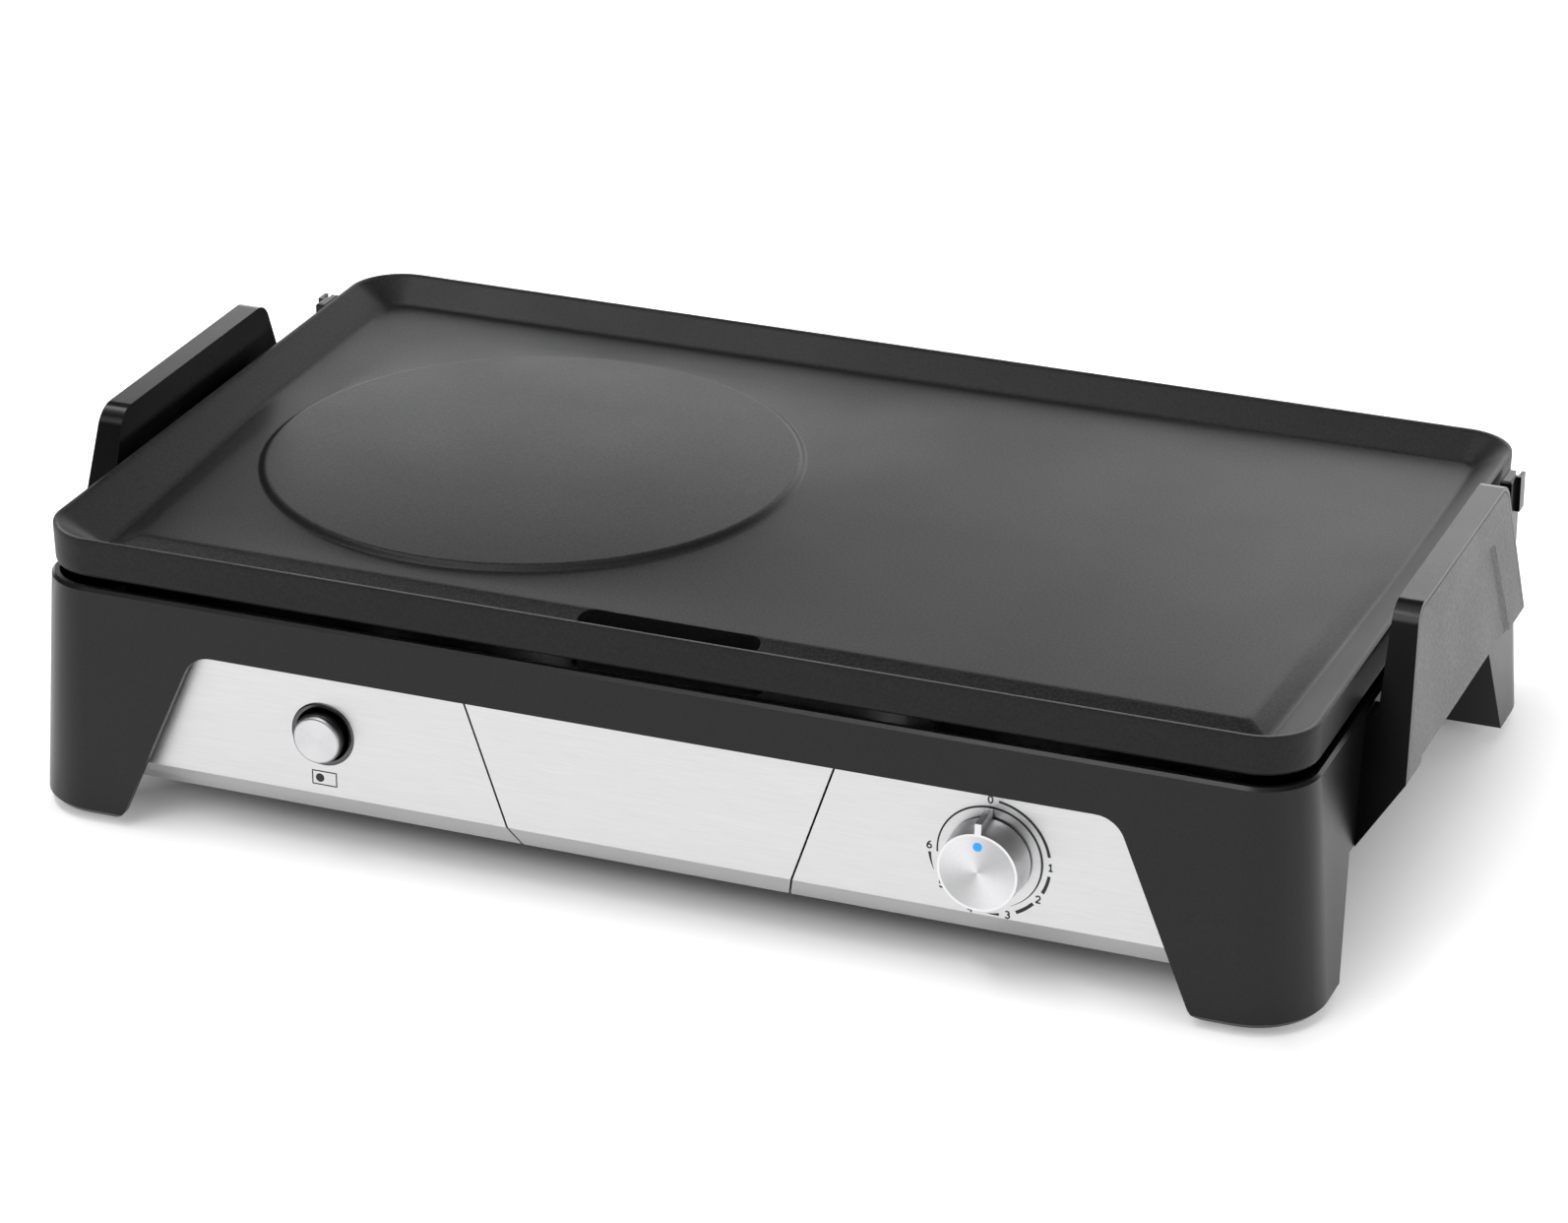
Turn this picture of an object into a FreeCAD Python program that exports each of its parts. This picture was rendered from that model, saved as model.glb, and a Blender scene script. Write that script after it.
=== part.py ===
import FreeCAD, Part
import math
import os
from types import SimpleNamespace

import Sketcher

# Electric griddle: a cast plate on a plastic base with four corner legs, a brushed-steel front with a
# pull-out drip tray, an on/off button for the round hot zone, a thermostat knob and two side handles.
# Millimetres. +Z up, the front faces -Y, +X to the right, the origin on the table under the middle.

Vector = FreeCAD.Vector
doc = FreeCAD.newDocument("electric_griddle")

# ---------------------------------------------------------------- driving dimensions

SIZES = [
    ("plate_width", 500.0, "cast plate, side to side"),
    ("plate_depth", 299.0, "cast plate, front to back"),
    ("plate_corner", 22.0, "cast plate, corner radius in plan"),
    ("rim_top", 115.1, "height of the plate's rim above the table"),
    ("skirt_bottom", 99.2, "height of the lower edge of the plate's skirt"),
    ("pan_underside", 101.6, "height of the plate's flat underside"),
    ("rim_lip", 1.6, "flat width of the rim's edge"),
    ("rim_slope", 13.4, "plan width of the slope inside the rim"),
    ("floor_depth", 8.5, "cooking floor below the rim"),
    ("gutter_depth", 11.6, "juice channel below the rim at the front"),
    ("gutter_flank", 10.0, "plan width of the channel's inner flank"),
    ("gutter_start", 15.0, "where the side channels begin, front-back"),
    ("zone_radius", 106.8, "round hot zone, radius"),
    ("zone_x", -110.5, "round hot zone, centre"),
    ("zone_y", 1.5, "round hot zone, centre"),
    ("zone_height", 2.0, "round hot zone above the floor"),
    ("drain_length", 72.0, "drain slot, side to side"),
    ("drain_width", 11.0, "drain slot, front to back"),
    ("drain_y", -124.6, "drain slot, centre"),
    ("base_width", 501.6, "base at its top edge, side to side"),
    ("base_depth", 302.0, "base at its top edge, front to back"),
    ("base_top", 95.7, "height of the base's top edge"),
    ("base_foot", 3.0, "height of the front legs' plastic edge"),
    ("rear_foot", 6.0, "height of the rear legs' plastic edge"),
    ("base_draft", 5.8, "how far each wall leans out from top to foot"),
    ("wall", 3.0, "thickness of the base's walls"),
    ("deck_top", 55.0, "height of the base's inner deck"),
    ("deck_thick", 2.5, "thickness of the deck"),
    ("arch_top", 75.7, "height of the front arch"),
    ("arch_half", 183.0, "front arch, half width at its top"),
    ("arch_lean", 0.43, "sideways lean of the arches, per mm down"),
    ("side_arch_top", 50.0, "height of the side and rear arches"),
    ("side_arch_front", -98.2, "front edge of a side arch at its top"),
    ("side_arch_lean", 0.346, "lean of a side arch's front edge, per mm down"),
    ("side_arch_back", 92.6, "rear edge of a side arch at its top"),
    ("rear_arch_half", 205.0, "rear arch, half width at its top"),
    ("box_half", 198.0, "front box, half width inside the legs"),
    ("box_back", -68.0, "rear wall of the front box"),
    ("box_bottom", 16.5, "height of the front box's open underside"),
    ("fascia_y", -146.0, "front face of the steel fascia"),
    ("fascia_bottom", 24.2, "where the fascia's chamfer begins"),
    ("chamfer_drop", 9.4, "height of the fascia's chamfer"),
    ("chamfer_back", 6.5, "how far the chamfer leans back"),
    ("steel", 1.2, "thickness of the steel sheet"),
    ("joint_top", 74.6, "half width of the tray front at the arch top"),
    ("joint_bottom", 57.0, "half width of the tray front at the chamfer"),
    ("joint_gap", 0.35, "half of the gap between the steel pieces"),
    ("knob_x", 133.6, "thermostat axis, sideways"),
    ("knob_z", 48.0, "thermostat axis, height"),
    ("knob_radius", 16.0, "knob, radius at its foot"),
    ("knob_length", 13.4, "knob, length in front of the fascia"),
    ("button_x", -132.2, "hot-zone button, sideways"),
    ("button_z", 49.5, "hot-zone button, height"),
    ("button_radius", 9.9, "hot-zone button, radius"),
    ("bezel_radius", 12.9, "button bezel, outer radius"),
    ("tray_half", 50.0, "drip tray, half width"),
    ("tray_length", 72.0, "drip tray, front to back"),
    ("tray_bottom", 27.0, "height of the drip tray's underside"),
    ("tray_top", 66.0, "height of the drip tray's rim"),
    ("handle_top", 131.4, "height of the handles"),
    ("handle_foot", 72.4, "height of the handle plates' lower edge"),
    ("handle_out_top", 264.5, "outer face of a handle at its top"),
    ("handle_out_foot", 269.2, "outer face of a handle at its lower edge"),
    ("handle_in", 255.0, "inner face of a handle beside the plate"),
    ("handle_short", 58.0, "reach of a handle's short end at its top"),
    ("handle_short_lean", 0.42, "lean of a handle's short end, per mm down"),
    ("handle_long", 65.5, "reach of a handle's long end at its top"),
    ("handle_long_lean", 0.32, "lean of a handle's long end, per mm down"),
    ("strut_foot", 49.2, "height of the handle struts' lower tip"),
    ("gland_end", 159.4, "rear end of the cord gland"),
]


def number(item):
    """The value of a Size or of a plain number."""
    return item.value if isinstance(item, Size) else float(item)


def formula(item):
    """The spreadsheet text of a Size or of a plain number."""
    return item.text if isinstance(item, Size) else repr(float(item))


class Size:
    """A number together with the spreadsheet formula that gives it."""

    def __init__(self, value, text):
        self.value = float(value)
        self.text = text

    def __add__(self, other):
        return Size(self.value + number(other), f"({self.text} + {formula(other)})")

    def __radd__(self, other):
        return Size(number(other) + self.value, f"({formula(other)} + {self.text})")

    def __sub__(self, other):
        return Size(self.value - number(other), f"({self.text} - {formula(other)})")

    def __rsub__(self, other):
        return Size(number(other) - self.value, f"({formula(other)} - {self.text})")

    def __mul__(self, other):
        return Size(self.value * number(other), f"({self.text} * {formula(other)})")

    def __rmul__(self, other):
        return self * other

    def __truediv__(self, other):
        return Size(self.value / number(other), f"({self.text} / {formula(other)})")

    def __neg__(self):
        return Size(-self.value, f"(0 - {self.text})")


sheet = doc.addObject("Spreadsheet::Sheet", "Sizes")
for row, (alias, value, note) in enumerate(SIZES, start=1):
    sheet.set(f"A{row}", note)
    sheet.set(f"B{row}", str(value))
    sheet.setAlias(f"B{row}", alias)
doc.recompute()
s = SimpleNamespace(**{alias: Size(value, f"Sizes.{alias}") for alias, value, _ in SIZES})

# ---------------------------------------------------------------- building helpers

PARTS = {}
LATHE = {"X": (0, 1, 0, 90), "Y": (1, 0, 0, -90), "Z": (0, 0, 1, 0)}


def part(node, obj):
    """Register an object as a finished piece under its node name."""
    obj.Label = node
    PARTS[node] = obj
    return obj


def bind(obj, **sizes):
    """Bind properties to sizes; a double underscore stands for a dot."""
    for name, value in sizes.items():
        obj.setExpression(name.replace("__", "."), formula(value))


def at(obj, x, y, z):
    """Bind an object's position."""
    bind(obj, Placement__Base__x=x, Placement__Base__y=y, Placement__Base__z=z)
    return obj


def box(x, y, z):
    """A block between pairs of planes."""
    solid = doc.addObject("Part::Box", "Block")
    bind(solid, Length=x[1] - x[0], Width=y[1] - y[0], Height=z[1] - z[0])
    return at(solid, x[0], y[0], z[0])


def rod(axis, centre, radius, length, top_radius=None):
    """A cylinder or cone that starts at centre and runs along +axis."""
    kind = "Part::Cylinder" if top_radius is None else "Part::Cone"
    solid = doc.addObject(kind, "Rod")
    if top_radius is None:
        bind(solid, Radius=radius, Height=length)
    else:
        bind(solid, Radius1=radius, Radius2=top_radius, Height=length)
    ax, ay, az, turn = LATHE[axis]
    solid.Placement = FreeCAD.Placement(Vector(0, 0, 0), FreeCAD.Rotation(Vector(ax, ay, az), turn))
    return at(solid, *centre)


def fuse(*solids):
    """Join several solids into one object, as one solid or as a group of separate solids."""
    joined = doc.addObject("Part::MultiFuse", "Join")
    joined.Shapes = list(solids)
    return joined


def cut(base, *tools):
    """Take tools away from a base."""
    result = doc.addObject("Part::Cut", "Trim")
    result.Base = base
    result.Tool = tools[0] if len(tools) == 1 else fuse(*tools)
    return result


def common(one, other):
    """What two solids share."""
    result = doc.addObject("Part::Common", "Share")
    result.Base = one
    result.Tool = other
    return result


def mirrored(solid, axis="X"):
    """The mirror image of a solid across the middle plane of the griddle."""
    image = doc.addObject("Part::Mirroring", "Mirror")
    image.Source = solid
    image.Normal = {"X": Vector(1, 0, 0), "Y": Vector(0, 1, 0)}[axis]
    return image


def rounded(solid, radius, wanted):
    """Round the edges that wanted(edge) picks."""
    doc.recompute()
    result = doc.addObject("Part::Fillet", "Round")
    result.Base = solid
    picked = [i for i, edge in enumerate(solid.Shape.Edges, start=1) if wanted(edge)]
    result.Edges = [(i, float(radius), float(radius)) for i in picked]
    return result


def origin_plane(body, role):
    """One of a body's own origin planes."""
    return next(f for f in body.Origin.OriginFeatures if f.Role == role)


def new_sketch(body, plane, offset=0.0):
    """A sketch on a body's origin plane, or a free one when body is None."""
    if body is None:
        sketch = doc.addObject("Sketcher::SketchObject", "Outline")
        turns = {
            "XY_Plane": FreeCAD.Rotation(),
            "XZ_Plane": FreeCAD.Rotation(Vector(1, 0, 0), 90),
            "YZ_Plane": FreeCAD.Rotation(Vector(1, 1, 1), 120),
        }
        sketch.Placement = FreeCAD.Placement(Vector(0, 0, 0), turns[plane])
        return sketch
    sketch = body.newObject("Sketcher::SketchObject", "Outline")
    sketch.AttachmentSupport = [(origin_plane(body, plane), "")]
    sketch.MapMode = "FlatFace"
    bind(sketch, AttachmentOffset__Base__z=offset)
    return sketch


def pin(sketch, kind, index, point, value):
    """Hold one coordinate of a sketch point at a size."""
    tie = sketch.addConstraint(Sketcher.Constraint(kind, -1, 1, index, point, number(value)))
    sketch.setExpression(f"Constraints[{tie}]", formula(value))


def polygon(body, plane, points, offset=0.0, rounds=None, closed=True):
    """An outline of straight lines through (u, v) points; rounds maps a corner to its radius."""
    sketch = new_sketch(body, plane, offset)
    rounds = rounds or {}
    count = len(points)
    spots = [Vector(number(u), number(v), 0) for u, v in points]
    trims = [corner_trims(spots, i, rounds.get(i, 0)) for i in range(count)]
    for i in range(count if closed else count - 1):
        sketch.addGeometry(Part.LineSegment(trims[i][1], trims[(i + 1) % count][0]))
    for i, (u, v) in enumerate(points):
        if not closed and i in (0, count - 1):
            line, end = (0, 1) if i == 0 else (count - 2, 2)
            pin(sketch, "DistanceX", line, end, u)
            pin(sketch, "DistanceY", line, end, v)
            continue
        before = (i - 1) % count
        if i not in rounds:
            sketch.addConstraint(Sketcher.Constraint("Coincident", before, 2, i, 1))
            pin(sketch, "DistanceX", i, 1, u)
            pin(sketch, "DistanceY", i, 1, v)
            continue
        arc = sketch.addGeometry(corner_arc(spots[i], *trims[i]))
        mark = sketch.addGeometry(Part.Point(spots[i]), True)
        pin(sketch, "DistanceX", mark, 1, u)
        pin(sketch, "DistanceY", mark, 1, v)
        forward = sketch.getPoint(arc, 1).isEqual(trims[i][0], 1e-6)
        sketch.addConstraint(Sketcher.Constraint("Tangent", before, 2, arc, 1 if forward else 2))
        sketch.addConstraint(Sketcher.Constraint("Tangent", arc, 2 if forward else 1, i, 1))
        sketch.addConstraint(Sketcher.Constraint("PointOnObject", mark, 1, before))
        sketch.addConstraint(Sketcher.Constraint("PointOnObject", mark, 1, i))
        tie = sketch.addConstraint(Sketcher.Constraint("Radius", arc, number(rounds[i])))
        sketch.setExpression(f"Constraints[{tie}]", formula(rounds[i]))
    return sketch


def corner_trims(spots, i, radius):
    """Where a rounding of this radius leaves the two lines that meet at a corner."""
    here = spots[i]
    back = (spots[i - 1] - here).normalize()
    ahead = (spots[(i + 1) % len(spots)] - here).normalize()
    half_angle = back.getAngle(ahead) / 2
    reach = number(radius) / math.tan(half_angle)
    return here + back * reach, here + ahead * reach


def corner_arc(corner, start, end):
    """The arc that touches both lines of a corner at the two trim points."""
    reach = (start - corner).Length
    inward = ((start - corner) + (end - corner)).normalize()
    half_angle = (start - corner).getAngle(inward)
    middle = corner + inward * (reach / math.cos(half_angle) - reach * math.tan(half_angle))
    return Part.Arc(start, middle, end)


def rounded_rectangle(body, plane, low, high, radius, offset=0.0):
    """A rectangle with equal rounded corners between two (u, v) corners."""
    sketch = new_sketch(body, plane, offset)
    u0, v0, u1, v1, r = (number(item) for item in (*low, *high, radius))
    centres = [(u1 - r, v1 - r), (u0 + r, v1 - r), (u0 + r, v0 + r), (u1 - r, v0 + r)]
    arcs = []
    for k, (u, v) in enumerate(centres):
        circle = Part.Circle(Vector(u, v, 0), Vector(0, 0, 1), r)
        quarter = Part.ArcOfCircle(circle, k * math.pi / 2, (k + 1) * math.pi / 2)
        arcs.append(sketch.addGeometry(quarter))
    runs = [((u1 - r, v1), (u0 + r, v1)), ((u0, v1 - r), (u0, v0 + r)),
            ((u0 + r, v0), (u1 - r, v0)), ((u1, v0 + r), (u1, v1 - r))]
    lines = [sketch.addGeometry(Part.LineSegment(Vector(*a, 0), Vector(*b, 0))) for a, b in runs]
    for k in range(4):
        sketch.addConstraint(Sketcher.Constraint("Tangent", arcs[k], 2, lines[k], 1))
        sketch.addConstraint(Sketcher.Constraint("Tangent", lines[k], 2, arcs[(k + 1) % 4], 1))
        sketch.addConstraint(Sketcher.Constraint("Horizontal" if k % 2 == 0 else "Vertical", lines[k]))
    for k in range(1, 4):
        sketch.addConstraint(Sketcher.Constraint("Equal", arcs[0], arcs[k]))
    tie = sketch.addConstraint(Sketcher.Constraint("Radius", arcs[0], r))
    sketch.setExpression(f"Constraints[{tie}]", formula(radius))
    pin(sketch, "DistanceY", lines[0], 1, high[1])
    pin(sketch, "DistanceX", lines[1], 1, low[0])
    pin(sketch, "DistanceY", lines[2], 1, low[1])
    pin(sketch, "DistanceX", lines[3], 1, high[0])
    return sketch


def circle(body, plane, centre, radius, offset=0.0):
    """A circle in a sketch."""
    sketch = new_sketch(body, plane, offset)
    middle = Vector(number(centre[0]), number(centre[1]), 0)
    sketch.addGeometry(Part.Circle(middle, Vector(0, 0, 1), number(radius)))
    pin(sketch, "DistanceX", 0, 3, centre[0])
    pin(sketch, "DistanceY", 0, 3, centre[1])
    tie = sketch.addConstraint(Sketcher.Constraint("Radius", 0, number(radius)))
    sketch.setExpression(f"Constraints[{tie}]", formula(radius))
    return sketch


def new_body(node):
    """A PartDesign body registered as a piece."""
    return part(node, doc.addObject("PartDesign::Body", node))


def feature(body, kind, profile, **sizes):
    """A sketch-based feature of a body."""
    made = body.newObject(f"PartDesign::{kind}", kind)
    made.Profile = profile
    bind(made, **sizes)
    body.Tip = made
    return made


def loft(body, kind, first, last):
    """A straight loft between two sketches, added or taken away."""
    made = body.newObject(f"PartDesign::{kind}", kind)
    made.Profile = first
    made.Sections = [last]
    made.Ruled = True
    body.Tip = made
    return made


def pocket_both(body, profile, depth):
    """A pocket that cuts the same depth to both sides of its sketch."""
    made = feature(body, "Pocket", profile, Length=depth)
    made.Midplane = True
    return made


def dress(body, kind, radius, wanted):
    """A fillet or chamfer on the body's edges that wanted(edge) picks."""
    doc.recompute()
    before = body.Tip
    picked = [f"Edge{i}" for i, edge in enumerate(before.Shape.Edges, start=1) if wanted(edge)]
    made = body.newObject(f"PartDesign::{kind}", kind)
    made.Base = (before, picked)
    bind(made, **{"Radius" if kind == "Fillet" else "Size": radius})
    body.Tip = made
    return made


def prism(outline, direction, start, end):
    """A free outline drawn out along an axis between two planes."""
    solid = doc.addObject("Part::Extrusion", "Prism")
    solid.Base = outline
    solid.DirMode = "Custom"
    solid.Dir = {"X": Vector(1, 0, 0), "Y": Vector(0, 1, 0), "Z": Vector(0, 0, 1)}[direction]
    solid.Solid = True
    bind(solid, LengthFwd=end, LengthRev=-start)
    return solid


def near(value, target, slack=0.05):
    """Whether two numbers are the same within a small slack."""
    return abs(value - number(target)) < slack


def level(edge, z):
    """Whether an edge lies at one height."""
    return near(edge.BoundBox.ZMin, z) and near(edge.BoundBox.ZMax, z)


# ---------------------------------------------------------------- cast cooking plate

plate_half = s.plate_width / 2
plate_half_depth = s.plate_depth / 2
floor_z = s.rim_top - s.floor_depth
gutter_z = s.rim_top - s.gutter_depth
floor_inset = s.rim_lip + s.rim_slope
slope_per_mm = s.rim_slope / s.floor_depth
gutter_inset = s.rim_lip + slope_per_mm * s.gutter_depth
gutter_at_corner = gutter_z + (floor_z - gutter_z) * ((s.plate_corner - gutter_inset) / s.gutter_flank)
corner_x = plate_half - s.plate_corner
corner_y = plate_half_depth - s.plate_corner
SKIRT_DRAFT = 0.4
SKIRT_EDGE = 2.2
DRAIN_SPOUT_WALL = 2.0
DRAIN_SPOUT_BOTTOM = 88.0


def plate_rectangle(body, inset, offset):
    """The plate's outline in plan, moved inwards."""
    low = (inset - plate_half, inset - plate_half_depth)
    high = (plate_half - inset, plate_half_depth - inset)
    return rounded_rectangle(body, "XY_Plane", low, high, s.plate_corner - inset, offset)


def drain_rectangle(body, grow, offset):
    """The drain slot's outline in plan, moved outwards."""
    u = s.drain_length / 2 + grow
    v = s.drain_width / 2 + grow
    return rounded_rectangle(body, "XY_Plane", (-u, s.drain_y - v), (u, s.drain_y + v), v - 0.01, offset)


def cooking_plate():
    """The casting: skirt, sloped rim, table, juice channels, round hot zone and drain slot."""
    body = new_body("cooking_plate")
    skirt_z = s.skirt_bottom + SKIRT_EDGE
    loft(body, "AdditiveLoft", plate_rectangle(body, SKIRT_EDGE, s.skirt_bottom),
         plate_rectangle(body, SKIRT_DRAFT, skirt_z))
    loft(body, "AdditiveLoft", plate_rectangle(body, SKIRT_DRAFT, skirt_z),
         plate_rectangle(body, 0.0, s.rim_top))
    cavity_rim = plate_rectangle(body, s.rim_lip, s.rim_top)
    loft(body, "SubtractiveLoft", cavity_rim, plate_rectangle(body, floor_inset, floor_z))
    shallow_z = floor_z - 0.05
    for side in (-1, 1):
        outer = (plate_half - floor_inset) * side
        bottom = (plate_half - gutter_inset) * side
        inner = (plate_half - gutter_inset - s.gutter_flank) * side
        deep = [(outer, floor_z), (bottom, gutter_z), (inner, floor_z)]
        faint = [(outer, floor_z), (outer - 0.08 * side, shallow_z), (inner, floor_z)]
        front_end = polygon(body, "XZ_Plane", deep, corner_y)
        loft(body, "SubtractiveLoft", front_end, polygon(body, "XZ_Plane", faint, -s.gutter_start))
        corner = [(outer - corner_x * side, floor_z), (bottom - corner_x * side, gutter_z),
                  (0, gutter_at_corner), (0, floor_z)]
        section = polygon(body, "XZ_Plane", corner, corner_y)
        bind(section, AttachmentOffset__Base__x=corner_x * side)
        turn = feature(body, "Groove", section, Angle=90)
        turn.ReferenceAxis = (section, ["V_Axis"])
        turn.Reversed = side > 0
    front = [(floor_inset - plate_half_depth, floor_z), (gutter_inset - plate_half_depth, gutter_z),
             (gutter_inset + s.gutter_flank - plate_half_depth, floor_z)]
    pocket_both(body, polygon(body, "YZ_Plane", front), corner_x * 2)
    zone_foot = circle(body, "XY_Plane", (s.zone_x, s.zone_y), s.zone_radius, floor_z)
    zone_face = circle(body, "XY_Plane", (s.zone_x, s.zone_y), s.zone_radius - 2, floor_z + s.zone_height)
    loft(body, "AdditiveLoft", zone_foot, zone_face)
    feature(body, "Pocket", plate_rectangle(body, s.rim_lip * 5, s.pan_underside), Length=10)
    feature(body, "Pad", drain_rectangle(body, DRAIN_SPOUT_WALL, DRAIN_SPOUT_BOTTOM),
            Length=s.pan_underside - DRAIN_SPOUT_BOTTOM)
    feature(body, "Pocket", drain_rectangle(body, 0.0, s.rim_top), Length=60)
    dress(body, "Fillet", 0.8,
          lambda e: level(e, s.rim_top) and near(e.Length, math.pi / 2 * number(s.plate_corner)))
    return body


cooking_plate()

# ---------------------------------------------------------------- base housing

base_half = s.base_width / 2
base_half_depth = s.base_depth / 2
wall_lean = s.base_draft / (s.base_top - s.base_foot)
deck_under = s.deck_top - s.deck_thick
heel = s.base_foot - 0.2
BASE_EDGE = 1.2
FOOT_EDGE = 2.0
LEG_WEB_IN = (222.0, 122.0)
LEG_WEB_Z = 8.0
LEDGE_GAP = 0.1
GLAND_X = 165.0
GLAND_Z = 73.0
HANDLE_BOLTS = [(side * y, z) for side in (-1, 1) for y, z in ((81.0, 62.0), (72.0, 84.0))]
DECK_SCREWS = [(x, y) for x in (-236.0, 236.0) for y in (-136.0, 136.0)]


def wall_x(z):
    """Sideways place of the base's outer wall at a height."""
    return base_half + wall_lean * (s.base_top - z)


def wall_y(z):
    """Place of the base's rear wall at a height."""
    return base_half_depth + wall_lean * (s.base_top - z)


def base_rectangle(body, inset, z):
    """The base's outline in plan at a height, moved inwards."""
    x = wall_x(z) - inset
    y = wall_y(z) - inset
    radius = s.plate_corner + wall_lean * (s.base_top - z) - inset
    return rounded_rectangle(body, "XY_Plane", (-x, -y), (x, y), radius, z)


def arch(half, top):
    """A trapezoid arch between two legs: half width at its top, leaning outwards on the way down."""
    foot = half + s.arch_lean * (top - heel)
    wide = foot + 40
    return [(-wide, -5), (wide, -5), (wide, heel), (foot, heel), (half, top), (-half, top),
            (-foot, heel), (-wide, heel)]


def side_arch():
    """The arch seen from the side, with its two edges leaning differently."""
    front = s.side_arch_front - s.side_arch_lean * (s.side_arch_top - heel)
    back = s.side_arch_back + s.arch_lean * (s.side_arch_top - heel)
    return [(front - 28, -5), (back + 28, -5), (back + 28, heel), (back, heel),
            (s.side_arch_back, s.side_arch_top), (s.side_arch_front, s.side_arch_top),
            (front, heel), (front - 28, heel)]


def base_shell():
    """The outer walls with their arches, the floors of the legs and the ledges under the deck."""
    body = doc.addObject("PartDesign::Body", "base_shell")
    shoulder = s.base_top - BASE_EDGE
    ankle = s.base_foot + FOOT_EDGE
    loft(body, "AdditiveLoft", base_rectangle(body, FOOT_EDGE, s.base_foot), base_rectangle(body, 0, ankle))
    loft(body, "AdditiveLoft", base_rectangle(body, 0, ankle), base_rectangle(body, 0, shoulder))
    loft(body, "AdditiveLoft", base_rectangle(body, 0, shoulder), base_rectangle(body, BASE_EDGE, s.base_top))
    low = base_rectangle(body, s.wall, s.base_foot - 1)
    loft(body, "SubtractiveLoft", low, base_rectangle(body, s.wall, s.base_top + 1))
    front_rounds = {3: 8, 4: 12, 5: 12, 6: 8}
    front_arch = polygon(body, "XZ_Plane", arch(s.arch_half, s.arch_top), 100, front_rounds)
    front = feature(body, "Pocket", front_arch, Length=80)
    front.Reversed = True
    rear_arch = arch(s.rear_arch_half, s.side_arch_top)
    feature(body, "Pocket", polygon(body, "XZ_Plane", rear_arch, -100, {3: 8, 6: 8}), Length=80)
    pocket_both(body, polygon(body, "YZ_Plane", side_arch(), 0, {3: 3, 6: 3}), 600)
    rear_half = [(-300, 20), (300, 20), (300, 200), (-300, 200)]
    feature(body, "Pocket", polygon(body, "XY_Plane", rear_half, s.rear_foot), Length=10)
    for floor in (LEG_WEB_Z, deck_under - s.deck_thick):
        top = s.deck_thick - LEDGE_GAP
        for side_x in (-1, 1):
            for side_y in (-1, 1):
                inner = (side_x * LEG_WEB_IN[0], side_y * LEG_WEB_IN[1])
                outer = (side_x * (wall_x(floor) - s.wall / 2), side_y * (wall_y(floor) - s.wall / 2))
                web = [inner, (outer[0], inner[1]), outer, (inner[0], outer[1])]
                web_sketch = polygon(body, "XY_Plane", web, floor, {2: s.plate_corner + 3})
                feature(body, "Pad", web_sketch, Length=top)
    for x, y in DECK_SCREWS:
        bore = circle(body, "XY_Plane", (x, y), 1.6, s.deck_top)
        feature(body, "Pocket", bore, Length=8)
    gland_hole = circle(body, "XZ_Plane", (GLAND_X, GLAND_Z), 7.2, -base_half_depth + 20)
    feature(body, "Pocket", gland_hole, Length=60)
    for y, z in HANDLE_BOLTS:
        pocket_both(body, circle(body, "YZ_Plane", (y, z), 2.2), 600)
    return body


def leg_wall(edge_y, lean, sign, low):
    """The wall that closes a right-hand leg along the edge of a side arch, from a lowest height up."""
    high = deck_under - LEDGE_GAP
    foot_y = edge_y + sign * lean * (s.side_arch_top - low)
    head_y = edge_y + sign * lean * (s.side_arch_top - high)
    thick = sign * s.wall
    side = [(foot_y, low), (foot_y + thick, low), (head_y + thick, high), (head_y, high)]
    front = [(LEG_WEB_IN[0], low), (wall_x(low) - 1, low), (wall_x(high) - 1, high), (LEG_WEB_IN[0], high)]
    return common(prism(polygon(None, "YZ_Plane", side), "X", 200, 270),
                  prism(polygon(None, "XZ_Plane", front), "Y", -140, 140))


leg_walls = fuse(leg_wall(s.side_arch_back, s.arch_lean, 1, s.rear_foot),
                 leg_wall(s.side_arch_front, s.side_arch_lean, -1, s.base_foot + 1))
part("base_housing", fuse(base_shell(), leg_walls, mirrored(leg_walls)))

# ---------------------------------------------------------------- inner deck with the front box

PLATE_POST_RADIUS = 8.0
PLATE_PAD = 3.0
PLATE_POSTS = [(x, y) for x in (-205.0, 205.0) for y in (-85.0, 108.0)]
REFLECTOR_Z = 71.0
REFLECTOR_POSTS = [(x, y) for x in (-140.0, 140.0) for y in (-50.0, 100.0)]
DECK_CLEAR = 0.15


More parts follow.
